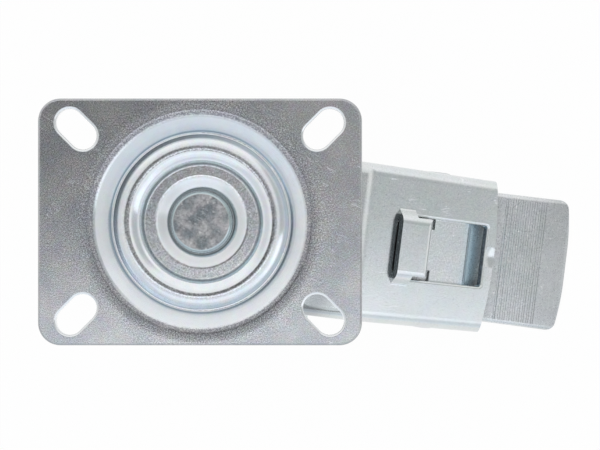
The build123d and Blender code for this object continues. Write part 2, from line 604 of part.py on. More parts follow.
for disc_side, disc_name in ((1, "rim_disc_left"), (-1, "rim_disc_right")):
    with BuildPart() as rim_disc:
        half = DISC_THICK / 2
        with BuildSketch(WHEEL_SECTION):
            with BuildLine():
                FilletPolyline(
                    (HUB_RADIUS + half, disc_side * (HUB_HALF_LENGTH - DISC_COLLAR_INSET)),
                    (HUB_RADIUS + half, disc_side * half),
                    (DISC_WEB_RADIUS, disc_side * half),
                    (RIM_SEAT_RADIUS - half, disc_side * RIM_HALF_WIDTH / 2),
                    (RIM_SEAT_RADIUS - half, disc_side * (RIM_HALF_WIDTH - half)),
                    (RIM_FLANGE_RADIUS, disc_side * (RIM_HALF_WIDTH - half)),
                    radius=DISC_BENDS,
                )
            trace(line_width=DISC_THICK)
        revolve(axis=AXLE)
        with BuildSketch(WHEEL_SIDE):
            with PolarLocations(DISC_RIVET_CIRCLE, DISC_RIVET_COUNT):
                Circle(DISC_RIVET_RADIUS + KINGPIN_CLEARANCE)
        extrude(amount=RIM_HALF_WIDTH, both=True, mode=Mode.SUBTRACT)
    rim_disc.part.label = disc_name
    export_step(rim_disc.part, f"parts/{disc_name}.step")

with BuildPart() as rim_rivets:
    with BuildSketch(WHEEL_SIDE):
        with PolarLocations(DISC_RIVET_CIRCLE, DISC_RIVET_COUNT):
            Circle(DISC_RIVET_RADIUS)
    extrude(amount=DISC_THICK, both=True)
    for rivet_side in (1, -1):
        with BuildSketch(WHEEL_SIDE.offset(rivet_side * DISC_THICK)):
            with PolarLocations(DISC_RIVET_CIRCLE, DISC_RIVET_COUNT):
                Circle(DISC_RIVET_RADIUS + DISC_RIVET_HEAD)
        extrude(amount=rivet_side * DISC_RIVET_HEAD_HEIGHT, taper=DISC_RIVET_TAPER)
rim_rivets.part.label = "rim_rivets"
export_step(rim_rivets.part, "parts/rim_rivets.step")

ROLLER_PITCH = TUBE_RADIUS + RUNNING_GAP + ROLLER_RADIUS
HUB_BORE = ROLLER_PITCH + ROLLER_RADIUS + RUNNING_GAP
TUBE_HALF_LENGTH = FORK_INNER_HALF_WIDTH - WASHER_THICK
CAP_END = TUBE_HALF_LENGTH - SIDE_GAP

with BuildPart() as hub_tube:
    with BuildSketch(WHEEL_SIDE):
        Circle(HUB_RADIUS)
        Circle(HUB_BORE, mode=Mode.SUBTRACT)
    extrude(amount=HUB_HALF_LENGTH, both=True)
hub_tube.part.label = "hub_tube"
export_step(hub_tube.part, "parts/hub_tube.step")

with BuildPart() as rollers:
    with BuildSketch(WHEEL_SIDE):
        with PolarLocations(ROLLER_PITCH, ROLLER_COUNT):
            Circle(ROLLER_RADIUS)
    extrude(amount=ROLLER_HALF_LENGTH, both=True)
rollers.part.label = "rollers"
export_step(rollers.part, "parts/rollers.step")

with BuildPart() as roller_cage:
    with BuildSketch(WHEEL_SIDE):
        Circle(HUB_BORE - CAGE_GAP)
        Circle(TUBE_RADIUS + CAGE_GAP, mode=Mode.SUBTRACT)
    extrude(amount=ROLLER_HALF_LENGTH + CAGE_END, both=True)
    with BuildSketch(WHEEL_SIDE):
        with PolarLocations(ROLLER_PITCH, ROLLER_COUNT):
            Circle(ROLLER_RADIUS + RUNNING_GAP)
    extrude(amount=ROLLER_HALF_LENGTH + RUNNING_GAP, both=True, mode=Mode.SUBTRACT)
roller_cage.part.label = "roller_cage"
export_step(roller_cage.part, "parts/roller_cage.step")

for cap_side, cap_name in ((1, "bearing_cap_left"), (-1, "bearing_cap_right")):
    with BuildPart() as bearing_cap:
        with BuildSketch(WHEEL_SECTION):
            with BuildLine():
                Polyline(
                    (TUBE_RADIUS + RUNNING_GAP, cap_side * (HUB_HALF_LENGTH - CAP_PLUG)),
                    (HUB_BORE - KINGPIN_CLEARANCE, cap_side * (HUB_HALF_LENGTH - CAP_PLUG)),
                    (HUB_BORE - KINGPIN_CLEARANCE, cap_side * HUB_HALF_LENGTH),
                    (CAP_RADIUS, cap_side * HUB_HALF_LENGTH),
                    (CAP_RADIUS - CAP_TAPER, cap_side * (HUB_HALF_LENGTH + CAP_THICK)),
                    (HUB_RADIUS - CAP_TAPER, cap_side * CAP_END),
                    (TUBE_RADIUS + RUNNING_GAP, cap_side * CAP_END),
                    close=True,
                )
            make_face()
        revolve(axis=AXLE)
    bearing_cap.part.label = cap_name
    export_step(bearing_cap.part, f"parts/{cap_name}.step")

with BuildPart() as axle_tube:
    with BuildSketch(WHEEL_SIDE):
        Circle(TUBE_RADIUS)
        Circle(BOLT_RADIUS + BOLT_CLEARANCE, mode=Mode.SUBTRACT)
    extrude(amount=TUBE_HALF_LENGTH, both=True)
axle_tube.part.label = "axle_tube"
export_step(axle_tube.part, "parts/axle_tube.step")

for washer_side, washer_name in ((1, "axle_washer_left"), (-1, "axle_washer_right")):
    with BuildPart() as axle_washer:
        with BuildSketch(WHEEL_SIDE.offset(-washer_side * FORK_INNER_HALF_WIDTH)):
            Circle(WASHER_RADIUS)
            Circle(BOLT_RADIUS + BOLT_CLEARANCE, mode=Mode.SUBTRACT)
        extrude(amount=washer_side * WASHER_THICK)
    axle_washer.part.label = washer_name
    export_step(axle_washer.part, f"parts/{washer_name}.step")

with BuildPart() as axle_bolt:
    with BuildSketch(WHEEL_SIDE.offset(-FORK_HALF_WIDTH)):
        RegularPolygon(HEX_ACROSS / 2, 6, major_radius=False)
    extrude(amount=-BOLT_HEAD_HEIGHT)
    chamfer(axle_bolt.faces().sort_by(Axis(AXLE_POINT, V_DIR))[-1].edges(), HEX_CHAMFER)
    with BuildSketch(WHEEL_SIDE.offset(-FORK_HALF_WIDTH)):
        Circle(BOLT_RADIUS)
    extrude(amount=2 * FORK_HALF_WIDTH + NUT_HEIGHT + THREAD_END)
    chamfer(axle_bolt.faces().sort_by(Axis(AXLE_POINT, -V_DIR))[-1].edges(), HEX_CHAMFER)
axle_bolt.part.label = "axle_bolt"
export_step(axle_bolt.part, "parts/axle_bolt.step")

with BuildPart() as axle_nut:
    with BuildSketch(WHEEL_SIDE.offset(FORK_HALF_WIDTH)):
        RegularPolygon(HEX_ACROSS / 2, 6, major_radius=False)
        Circle(BOLT_RADIUS + KINGPIN_CLEARANCE, mode=Mode.SUBTRACT)
    extrude(amount=NUT_HEIGHT)
    chamfer(axle_nut.faces().sort_by(Axis(AXLE_POINT, -V_DIR))[-1].outer_wire().edges(), HEX_CHAMFER)
axle_nut.part.label = "axle_nut"
export_step(axle_nut.part, "parts/axle_nut.step")

# Brake pedal: a channel whose web is bent into the cam, a step and the grooved tread
TIP_X = PEDAL_TIP_U - PIN_U
EDGE_X = HOOD_END_U - PIN_U - PEDAL_EDGE_INSET
EDGE_Y = HOOD_END_Z - SHEET / cos(SLOPE) - PEDAL_DROP - PIN_Z
TREAD_RISE = tan(radians(PEDAL_RISE))
TIP_Y = EDGE_Y + (TIP_X - EDGE_X) * TREAD_RISE
CAM_FRONT_SLOPE = radians(HOOD_SLOPE - PEDAL_TRAVEL)
CAM_START = (RIDGE[0] - CAM_FRONT * cos(CAM_FRONT_SLOPE), RIDGE[1] + CAM_FRONT * sin(CAM_FRONT_SLOPE))
CAM_END = (RIDGE[0] + CAM_REAR * cos(SLOPE), RIDGE[1] - CAM_REAR * sin(SLOPE))
STEP_FOOT = (CAM_END[0] + STEP_RUN, EDGE_Y + STEP_LIFT)
WEB_POINTS = [CAM_START, RIDGE, CAM_END, STEP_FOOT, (EDGE_X, EDGE_Y), (TIP_X, TIP_Y)]


def sheet_underside(points: list[tuple[float, float]], thick: float) -> list[Vector]:
    """Corners of the line that runs thick below the given one, and past both of its ends."""
    corners = [Vector(*point) for point in points]
    runs = [(b - a).normalized() for a, b in zip(corners, corners[1:])]
    downs = [Vector(run.Y, -run.X) for run in runs]
    under = [corners[0] + downs[0] * thick - runs[0] * 2 * thick]
    for corner, before, after in zip(corners[1:-1], downs, downs[1:]):
        under.append(corner + (before + after) * (thick / (1 + before.dot(after))))
    under.append(corners[-1] + downs[-1] * thick + runs[-1] * 2 * thick)
    return under


with BuildPart() as brake_pedal:
    with BuildSketch(PIN_SIDE):
        with BuildLine():
            FilletPolyline(
                *WEB_POINTS,
                (TIP_X - PEDAL_TIP_RAKE, TIP_Y - PEDAL_FLANGE),
                (EDGE_X, EDGE_Y - PEDAL_FLANGE - PEDAL_EDGE_INSET),
                (PEDAL_EAR_RADIUS, -PEDAL_EAR_RADIUS - SHOE_TENON),
                (-PEDAL_EAR_RADIUS + PEDAL_EAR_NOSE, -PEDAL_EAR_RADIUS - SHOE_TENON),
                (-PEDAL_EAR_RADIUS - PEDAL_EAR_BACK, 0),
                radius=PEDAL_BENDS,
                close=True,
            )
        make_face()
    extrude(amount=PEDAL_HALF_WIDTH, both=True)
    rolled = [
        e for e in brake_pedal.edges()
        if abs(abs(PIN_SIDE.to_local_coords(e @ 0.5).Z) - PEDAL_HALF_WIDTH) < ON_FACE
        and EDGE_X - ROLL_START < PIN_SIDE.to_local_coords(e @ 0.5).X < TIP_X - PEDAL_EDGE_INSET
        and PIN_SIDE.to_local_coords(e @ 0.5).Y > EDGE_Y - PEDAL_TIP_RAKE
    ]
    fillet(rolled, PEDAL_EDGE_ROLL)
    under = sheet_underside(WEB_POINTS, PEDAL_THICK)
    with BuildSketch(PIN_SIDE):
        with BuildLine():
            FilletPolyline(
                *under,
                (TIP_X + 2 * PEDAL_THICK, -4 * PEDAL_EAR_RADIUS),
                (-3 * PEDAL_EAR_RADIUS, -4 * PEDAL_EAR_RADIUS),
                (-3 * PEDAL_EAR_RADIUS, under[0].Y),
                radius=[
                    0, CAM_INNER_BEND, CAM_INNER_BEND, PEDAL_BENDS[3] + PEDAL_THICK,
                    PEDAL_BENDS[4] + PEDAL_THICK, 0, 0, 0, 0,
                ],
                close=True,
            )
        make_face()
    extrude(amount=PEDAL_HALF_WIDTH - PEDAL_THICK, both=True, mode=Mode.SUBTRACT)
    with BuildSketch(PIN_SIDE):
        Circle(PIN_RADIUS + PIN_CLEARANCE)
        with Locations(Location((0, 0, 0), (0, 0, SHOE_ANGLE))):
            with Locations((SHOE_START + SHOE_TENON / 2 + SHOE_SHOULDER, 0)):
                Rectangle(SHOE_TENON + 2 * SHOE_SIDE_GAP, SHOE_THICK + 2 * SHOE_SIDE_GAP)
    extrude(amount=PEDAL_HALF_WIDTH, both=True, mode=Mode.SUBTRACT)
    with BuildSketch(PIN_SIDE):
        groove_places = [
            (GROOVE_START_U - PIN_U + i * GROOVE_PITCH,
             EDGE_Y + (GROOVE_START_U - PIN_U + i * GROOVE_PITCH - EDGE_X) * TREAD_RISE)
            for i in range(GROOVE_COUNT)
        ]
        with Locations(*groove_places):
            Circle(GROOVE_RADIUS)
    extrude(amount=PEDAL_HALF_WIDTH - PEDAL_EDGE_ROLL, both=True, mode=Mode.SUBTRACT)
    with BuildSketch(PLAN.offset(-2 * AXLE_DEPTH)) as pedal_plan:
        with Locations((PEDAL_TIP_U - PEDAL_TIP_BOW, 0)):
            Circle(PEDAL_TIP_BOW)
        with Locations((PEDAL_TIP_U - PEDAL_TIP_BOW / 2, 0)):
            Rectangle(2 * PEDAL_TIP_BOW, 2 * PEDAL_HALF_WIDTH, mode=Mode.INTERSECT)
        tip_corners = pedal_plan.vertices().filter_by(lambda v: PLAN.to_local_coords(v).X > EDGE_X + PIN_U)
        fillet(tip_corners, PEDAL_TIP_CORNER)
    extrude(amount=2 * AXLE_DEPTH, mode=Mode.INTERSECT)
brake_pedal.part.label = "brake_pedal"
export_step(brake_pedal.part, "parts/brake_pedal.step")

# Brake shoe: its toothed edge follows the tread where the pedal is locked
LOCKED_ANGLE = radians(180 + PIN_ANGLE + PEDAL_TRAVEL)
with BuildPart() as brake_shoe:
    with BuildSketch(PIN_SIDE):
        with Locations(Location((0, 0, 0), (0, 0, SHOE_ANGLE))):
            with Locations((SHOE_START + SHOE_LENGTH / 2, 0)):
                Rectangle(SHOE_LENGTH, SHOE_THICK)
        with Locations((PIN_REACH * cos(LOCKED_ANGLE), PIN_REACH * sin(LOCKED_ANGLE))):
            Circle(WHEEL_RADIUS + TREAD_GAP, mode=Mode.SUBTRACT)
    extrude(amount=PEDAL_HALF_WIDTH - PEDAL_THICK - SHOE_SIDE_GAP, both=True)
    shoe_face = Plane(
        origin=PIN_POINT,
        x_dir=V_DIR,
        z_dir=U_DIR * sin(radians(SHOE_ANGLE)) - Vector(0, 0, cos(radians(SHOE_ANGLE))),
    )
    with BuildSketch(shoe_face.offset(-SHOE_THICK)):
        with Locations((0, -TOOTH_EDGE)):
            with GridLocations(TOOTH_PITCH, 1, TOOTH_COUNT, 1):
                Rectangle(TOOTH_DEPTH, TOOTH_DEPTH, rotation=45)
    extrude(amount=2 * SHOE_THICK, mode=Mode.SUBTRACT)
    with BuildSketch(PIN_SIDE):
        with Locations(Location((0, 0, 0), (0, 0, SHOE_ANGLE))):
            with Locations((SHOE_START + SHOE_TENON / 2 + SHOE_SHOULDER, 0)):
                Rectangle(SHOE_TENON, SHOE_THICK)
    extrude(amount=PEDAL_HALF_WIDTH, both=True)
brake_shoe.part.label = "brake_shoe"
export_step(brake_shoe.part, "parts/brake_shoe.step")

with BuildPart() as brake_pivot_pin:
    with BuildSketch(PIN_SIDE):
        Circle(PIN_RADIUS)
    extrude(amount=FORK_HALF_WIDTH, both=True)
    for head_side in (1, -1):
        with BuildSketch(PIN_SIDE.offset(head_side * FORK_HALF_WIDTH)):
            Circle(PIN_HEAD_RADIUS)
        extrude(amount=head_side * PIN_HEAD_HEIGHT, taper=PIN_HEAD_TAPER)
brake_pivot_pin.part.label = "brake_pivot_pin"
export_step(brake_pivot_pin.part, "parts/brake_pivot_pin.step")

# Detent spring: its tongue sits under the bridge, its flat under the roof bears on the cam
with BuildPart() as detent_spring:
    flat_y = SPRING_TOP - SPRING_THICK / 2
    tongue_y = BRIDGE_LIFT - SHEET - SPRING_GAP - SPRING_THICK / 2
    with BuildSketch(HOOD_SIDE):
        with BuildLine():
            FilletPolyline(
                (BRIDGE_START + SPRING_THICK, tongue_y),
                (WINDOW_START - SPRING_STEP_BACK, tongue_y),
                (WINDOW_START + SPRING_STEP_RUN, flat_y),
                (SPRING_END, flat_y),
                (SPRING_END + SPRING_CURL_RUN, flat_y - SPRING_CURL_DROP),
                radius=SPRING_BENDS,
            )
        trace(line_width=SPRING_THICK)
    extrude(amount=SPRING_HALF_WIDTH, both=True)
    with BuildSketch(HOOD_ROOF.offset(-2 * SHEET)):
        with Locations((BRIDGE_START, SPRING_HALF_WIDTH), (BRIDGE_START, -SPRING_HALF_WIDTH)):
            Rectangle(
                2 * (WINDOW_START + SPRING_SHOULDER - BRIDGE_START),
                2 * (SPRING_HALF_WIDTH - SPRING_TONGUE_HALF_WIDTH),
            )
    extrude(amount=4 * SHEET, mode=Mode.SUBTRACT)
detent_spring.part.label = "detent_spring"
export_step(detent_spring.part, "parts/detent_spring.step")
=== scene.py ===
"""Looks of a zinc-plated swivel castor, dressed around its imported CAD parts."""

import logging
import math
from dataclasses import dataclass, field
from enum import Enum

import bpy
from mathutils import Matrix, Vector


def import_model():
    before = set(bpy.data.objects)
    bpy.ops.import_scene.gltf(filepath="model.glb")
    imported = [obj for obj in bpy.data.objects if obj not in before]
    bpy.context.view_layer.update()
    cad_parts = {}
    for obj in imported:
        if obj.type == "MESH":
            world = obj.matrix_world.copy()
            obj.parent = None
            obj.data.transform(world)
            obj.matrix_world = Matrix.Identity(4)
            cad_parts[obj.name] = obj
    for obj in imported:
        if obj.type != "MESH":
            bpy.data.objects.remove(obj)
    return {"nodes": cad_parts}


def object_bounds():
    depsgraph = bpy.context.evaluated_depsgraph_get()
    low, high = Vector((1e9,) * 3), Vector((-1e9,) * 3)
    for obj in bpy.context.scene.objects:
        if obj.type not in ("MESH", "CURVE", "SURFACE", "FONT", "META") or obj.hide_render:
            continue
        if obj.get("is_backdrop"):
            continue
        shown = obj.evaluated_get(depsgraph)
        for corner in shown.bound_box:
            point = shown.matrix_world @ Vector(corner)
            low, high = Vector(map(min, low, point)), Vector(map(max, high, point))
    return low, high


LOG = logging.getLogger("castor")
MM = 0.001
Colour = tuple[float, float, float]
Socket = bpy.types.NodeSocket
Tree = bpy.types.NodeTree
Nodes = dict[str, bpy.types.Object]
FLAT = (1.0, 1.0, 0.0)


class GrainPlace(Enum):
    """Where the coarse grain of a metal skin lies."""

    EVERYWHERE = "everywhere"
    FLATS = "flats"
    RINGS = "rings"


class Weaver:
    """Adds and links shader nodes in one node tree."""

    def __init__(self, tree: Tree) -> None:
        """Keeps the tree that the nodes go to.

        Args:
            tree: node tree of a material, a world or a group.
        """
        self.tree = tree

    def node(self, kind: str, **settings: object) -> bpy.types.Node:
        """Adds a node and sets its properties.

        Args:
            kind: Blender's type name of the node.
            settings: properties of the node by name.

        Returns:
            The new node.
        """
        made = self.tree.nodes.new(kind)
        for key, value in settings.items():
            setattr(made, key, value)
        return made

    def put(self, target: Socket, value: object) -> None:
        """Links a socket to the target, or sets the target's own value.

        Args:
            target: input socket.
            value: output socket, number, vector or colour.
        """
        if isinstance(value, Socket):
            self.tree.links.new(value, target)
        elif isinstance(value, tuple) and len(value) == 3 and target.type == "RGBA":
            target.default_value = (*value, 1.0)
        else:
            target.default_value = value

    def math(self, operation: str, *values: object) -> Socket:
        """Adds a Math node.

        Args:
            operation: Blender's name of the operation.
            values: inputs in their order.

        Returns:
            The result's socket.
        """
        made = self.node("ShaderNodeMath", operation=operation)
        for target, value in zip(made.inputs, values):
            self.put(target, value)
        return made.outputs[0]

    def vector(self, operation: str, *values: object) -> bpy.types.Node:
        """Adds a Vector Math node.

        Args:
            operation: Blender's name of the operation.
            values: inputs in their order.

        Returns:
            The node itself, because its results differ by operation.
        """
        made = self.node("ShaderNodeVectorMath", operation=operation)
        for target, value in zip(made.inputs, values):
            self.put(target, value)
        return made

    def axes(self, value: object) -> tuple[Socket, ...]:
        """Splits a vector.

        Args:
            value: the vector's socket.

        Returns:
            Its x, y and z.
        """
        parts = self.node("ShaderNodeSeparateXYZ")
        self.put(parts.inputs[0], value)
        return tuple(parts.outputs)

    def remap(self, value: object, low: object, high: object, to_low: float = 0.0, to_high: float = 1.0,
              smooth: bool = False) -> Socket:
        """Stretches a value's range, clamped at both ends.

        Args:
            value: what is stretched.
            low: value that becomes to_low.
            high: value that becomes to_high.
            to_low: result at low.
            to_high: result at high.
            smooth: whether the step is eased.

        Returns:
            The stretched value's socket.
        """
        made = self.node("ShaderNodeMapRange", interpolation_type="SMOOTHSTEP" if smooth else "LINEAR")
        for name, given in (("Value", value), ("From Min", low), ("From Max", high),
                            ("To Min", to_low), ("To Max", to_high)):
            self.put(made.inputs[name], given)
        return made.outputs[0]

    def noise(self, place: object, scale: object, detail: float = 2.0, roughness: float = 0.5,
              output: str = "Fac") -> Socket:
        """Adds a noise that is about 0.5 on average.

        Args:
            place: coordinates.
            scale: waves per metre.
            detail: octaves.
            roughness: share that each finer octave keeps.
            output: "Fac" for a value, "Color" for three values that differ.

        Returns:
            The noise's socket.
        """
        made = self.node("ShaderNodeTexNoise")
        for name, given in (("Vector", place), ("Scale", scale), ("Detail", detail),
                            ("Roughness", roughness)):
            self.put(made.inputs[name], given)
        return made.outputs[output]

    def blend(self, share: object, first: object, second: object, mode: str = "MIX") -> Socket:
        """Mixes two colours.

        Args:
            share: 0 gives the first colour and 1 the second.
            first: colour or socket.
            second: colour or socket.
            mode: Blender's blend mode.

        Returns:
            The mixed colour's socket.
        """
        made = self.node("ShaderNodeMix", data_type="RGBA", blend_type=mode)
        self.put(made.inputs["Factor"], share)
        self.put(made.inputs[6], first)
        self.put(made.inputs[7], second)
        return made.outputs[2]

    def length(self, value: object) -> Socket:
        """Measures a vector.

        Args:
            value: the vector.

        Returns:
            Its length's socket.
        """
        return self.vector("LENGTH", value).outputs["Value"]

    def dot(self, first: object, second: object) -> Socket:
        """Multiplies two vectors into a number.

        Args:
            first: a vector.
            second: a vector.

        Returns:
            The number's socket.
        """
        return self.vector("DOT_PRODUCT", first, second).outputs["Value"]

    def scaled(self, value: object, factor: object) -> Socket:
        """Multiplies a vector by a number.

        Args:
            value: the vector.
            factor: the number.

        Returns:
            The scaled vector's socket.
        """
        made = self.node("ShaderNodeVectorMath", operation="SCALE")
        self.put(made.inputs[0], value)
        self.put(made.inputs["Scale"], factor)
        return made.outputs[0]

    def object_place(self) -> Socket:
        """Makes the point's place on the object, in metres.

        Returns:
            The place's socket.
        """
        return self.node("ShaderNodeTexCoord").outputs["Object"]

    def flat_place(self) -> Socket:
        """Makes the point's place on the object without its height, in metres.

        Returns:
            The place's socket.
        """
        return self.vector("MULTIPLY", self.object_place(), FLAT).outputs[0]

    def swivel_radius(self) -> Socket:
        """Makes the point's distance from the swivel axis, in metres.

        Returns:
            The distance's socket.
        """
        return self.length(self.flat_place())


class Effects:
    """Shader groups that several finishes share. Each is built once."""

    def __init__(self) -> None:
        """Builds the groups."""
        self.grain = self._grain()
        self.cloud = self._cloud()
        self.mottle = self._mottle()
        self.scratch = self._scratch()
        self.ring = self._ring()
        self.facing = self._facing()
        self.zone = self._zone()

    @staticmethod
    def _group(
        name: str, inputs: dict[str, float], outputs: dict[str, str]
    ) -> tuple[Weaver, dict[str, Socket], bpy.types.Node]:
        """Starts a group whose inputs are all numbers.

        Args:
            name: name of the group.
            inputs: default value of each input by name.
            outputs: "Float" or "Color" for each output by name.

        Returns:
            The group's weaver, its input sockets by name, and its output node.
        """
        tree = bpy.data.node_groups.new(name, "ShaderNodeTree")
        for key, value in inputs.items():
            made = tree.interface.new_socket(key, in_out="INPUT", socket_type="NodeSocketFloat")
            made.default_value = value
        for key, kind in outputs.items():
            tree.interface.new_socket(key, in_out="OUTPUT", socket_type="NodeSocket" + kind)
        weaver = Weaver(tree)
        entry = weaver.node("NodeGroupInput")
        return weaver, {s.name: s for s in entry.outputs if s.name}, weaver.node("NodeGroupOutput")

    def _grain(self) -> Tree:
        """Makes the crystal grain of a metal skin, with single bright and dark specks.

        Returns:
            The group.
        """
        middle, grain_spread, speck_start, speck_full = 0.5, 0.16, 0.16, 0.24
        outputs = {"Grain": "Float", "Bright": "Float", "Dark": "Float"}
        weaver, given, result = self._group("metal_grain", {"Size": 0.5 * MM}, outputs)
        place = weaver.object_place()
        scale = weaver.math("DIVIDE", 1.0, given["Size"])
        fine = weaver.noise(place, scale, 4.0, 0.7)
        grain = weaver.remap(fine, middle - grain_spread, middle + grain_spread)
        weaver.put(result.inputs["Grain"], grain)
        specks = weaver.noise(place, weaver.math("MULTIPLY", scale, 0.8), 1.0, 0.5)
        bright = weaver.remap(specks, middle + speck_start, middle + speck_full)
        dark = weaver.remap(specks, middle - speck_start, middle - speck_full)
        weaver.put(result.inputs["Bright"], bright)
        weaver.put(result.inputs["Dark"], dark)
        return weaver.tree

    def _cloud(self) -> Tree:
        """Makes slow changes of tone over a sheet.

        Returns:
            The group.
        """
        weaver, given, result = self._group("tone_cloud", {"Size": 20 * MM}, {"Cloud": "Float"})
        slow = weaver.noise(weaver.object_place(), weaver.math("DIVIDE", 1.0, given["Size"]), 2.5, 0.5)
        weaver.put(result.inputs["Cloud"], weaver.remap(slow, 0.32, 0.68, smooth=True))
        return weaver.tree

    def _mottle(self) -> Tree:
        """Makes the faint purple, green and blue patches of passivated zinc.

        Returns:
            The group.
        """
        inputs = {"Size": 5 * MM, "Amount": 0.3}
        weaver, given, result = self._group("passivation_mottle", inputs, {"Colour": "Color"})
        scale = weaver.math("DIVIDE", 1.0, given["Size"])
        patches = weaver.noise(weaver.object_place(), scale, 3.0, 0.6, "Color")
        around_zero = weaver.vector("SUBTRACT", patches, (0.5, 0.5, 0.5)).outputs[0]
        weaker = weaver.scaled(around_zero, given["Amount"])
        weaver.put(result.inputs["Colour"], weaver.vector("ADD", weaker, (1.0, 1.0, 1.0)).outputs[0])
        return weaver.tree

    def _scratch(self) -> Tree:
        """Makes fine straight scratches that all run one way, in patches.

        Returns:
            The group.
        """
        half_line, patches_per_metre, fewest, span = 0.012, 130.0, 0.72, 0.4
        inputs = {"Length": 14 * MM, "Width": 0.5 * MM, "Angle": 0.0, "Amount": 0.3}
        weaver, given, result = self._group("handling_scratch", inputs, {"Scratch": "Float"})
        turned = weaver.node("ShaderNodeVectorRotate", rotation_type="Z_AXIS")
        weaver.put(turned.inputs["Vector"], weaver.object_place())
        weaver.put(turned.inputs["Angle"], given["Angle"])
        along, side, rise = weaver.axes(turned.outputs[0])
        joined = weaver.node("ShaderNodeCombineXYZ")
        weaver.put(joined.inputs[0], weaver.math("DIVIDE", along, given["Length"]))
        weaver.put(joined.inputs[1], weaver.math("DIVIDE", weaver.math("ADD", side, rise), given["Width"]))
        line = weaver.noise(joined.outputs[0], 1.0, 1.0, 0.4)
        thin = weaver.remap(weaver.math("ABSOLUTE", weaver.math("SUBTRACT", line, 0.5)), half_line, 0.0)
        where = weaver.noise(weaver.object_place(), patches_per_metre, 1.0, 0.5)
        least = weaver.math("SUBTRACT", fewest, weaver.math("MULTIPLY", given["Amount"], span))
        there = weaver.math("GREATER_THAN", where, least)
        weaver.put(result.inputs["Scratch"], weaver.math("MULTIPLY", thin, there))
        return weaver.tree

    def _ring(self) -> Tree:
        """Makes a soft ring about the swivel axis.

        Returns:
            The group.
        """
        inputs = {"Radius": 37 * MM, "Width": 3 * MM}
        weaver, given, result = self._group("soft_ring", inputs, {"Ring": "Float"})
        away = weaver.math("SUBTRACT", weaver.swivel_radius(), given["Radius"])
        away = weaver.math("DIVIDE", away, given["Width"])
        falling = weaver.math("MULTIPLY", weaver.math("MULTIPLY", away, away), -1.0)
        weaver.put(result.inputs["Ring"], weaver.math("POWER", math.e, falling))
        return weaver.tree

    def _facing(self) -> Tree:
        """Makes the mask of faces that look one way.

        Returns:
            The group.
        """
        inputs = {"X": 0.0, "Y": 0.0, "Z": 1.0, "Least": 0.95, "Full": 0.99}
        weaver, given, result = self._group("facing", inputs, {"Facing": "Float"})
        way = weaver.node("ShaderNodeCombineXYZ")
        for target, axis in zip(way.inputs, "XYZ"):
            weaver.put(target, given[axis])
        normal = weaver.node("ShaderNodeTexCoord").outputs["Normal"]
        turned = weaver.dot(normal, way.outputs[0])
        weaver.put(result.inputs["Facing"], weaver.remap(turned, given["Least"], given["Full"], smooth=True))
        return weaver.tree

    def _zone(self) -> Tree:
        """Makes a ring about the swivel axis whose borders wander a little.

        Returns:
            The group.
        """
        waves_per_metre, wander = 900.0, 0.9 * MM
        inputs = {"Inner": 15 * MM, "Outer": 20 * MM, "Soft": 0.3 * MM}
        weaver, given, result = self._group("ring_zone", inputs, {"Zone": "Float"})
        off_centre = weaver.math("SUBTRACT", weaver.noise(weaver.object_place(), waves_per_metre), 0.5)
        radius = weaver.math("ADD", weaver.swivel_radius(), weaver.math("MULTIPLY", off_centre, wander))
        past_inner = weaver.math("DIVIDE", weaver.math("SUBTRACT", radius, given["Inner"]), given["Soft"])
        before_outer = weaver.math("DIVIDE", weaver.math("SUBTRACT", given["Outer"], radius), given["Soft"])
        inside = weaver.math("MINIMUM", past_inner, before_outer)
        weaver.put(result.inputs["Zone"], weaver.remap(inside, -1.0, 1.0, smooth=True))
        return weaver.tree

    @staticmethod
    def use(weaver: Weaver, tree: Tree, **values: float) -> dict[str, Socket]:
        """Places a group in a material.

        Args:
            weaver: the material's weaver.
            tree: the group.
            values: the group's inputs by name.

        Returns:
            The group's outputs by name.
        """
        made = weaver.node("ShaderNodeGroup", node_tree=tree)
        for key, value in values.items():
            weaver.put(made.inputs[key], value)
        return {s.name: s for s in made.outputs}


@dataclass(frozen=True)
class RoughRing:
    """A ring about the swivel axis where the skin is granular."""

    inner_mm: float
    outer_mm: float
    share: float
    soft_mm: float = 0.3


@dataclass(frozen=True)
class GrimeAndShadeRing:
    """A soft dark ring about the swivel axis, which may be granular and may end sharply on its inside. It
    serves for a dark joint, for painted shade and for darker bands.
    """

    radius_mm: float
    width_mm: float
    share: float
    colour: Colour = (0.10, 0.10, 0.12)
    granular: float = 0.0
    crisp_inside: bool = False
    crisp_mm: float = 0.25

    def mask(self, weaver: Weaver, effects: Effects, grain: Socket) -> Socket:
        """Makes the ring's mask.

        Args:
            weaver: the material's weaver.
            effects: the shared shader groups.
            grain: the skin's grain.

        Returns:
            The mask, which reaches the ring's share.
        """
        sizes = {"Radius": self.radius_mm * MM, "Width": self.width_mm * MM}
        mask = weaver.math("MULTIPLY", effects.use(weaver, effects.ring, **sizes)["Ring"], self.share)
        if self.granular:
            mask = weaver.math("MULTIPLY", mask, weaver.remap(grain, 0.3, 0.7, 1.0, 1.0 - self.granular))
        if self.crisp_inside:
            edge = self.radius_mm * MM
            outside = weaver.remap(weaver.swivel_radius(), edge - self.crisp_mm * MM, edge)
            mask = weaver.math("MULTIPLY", mask, outside)
        return mask


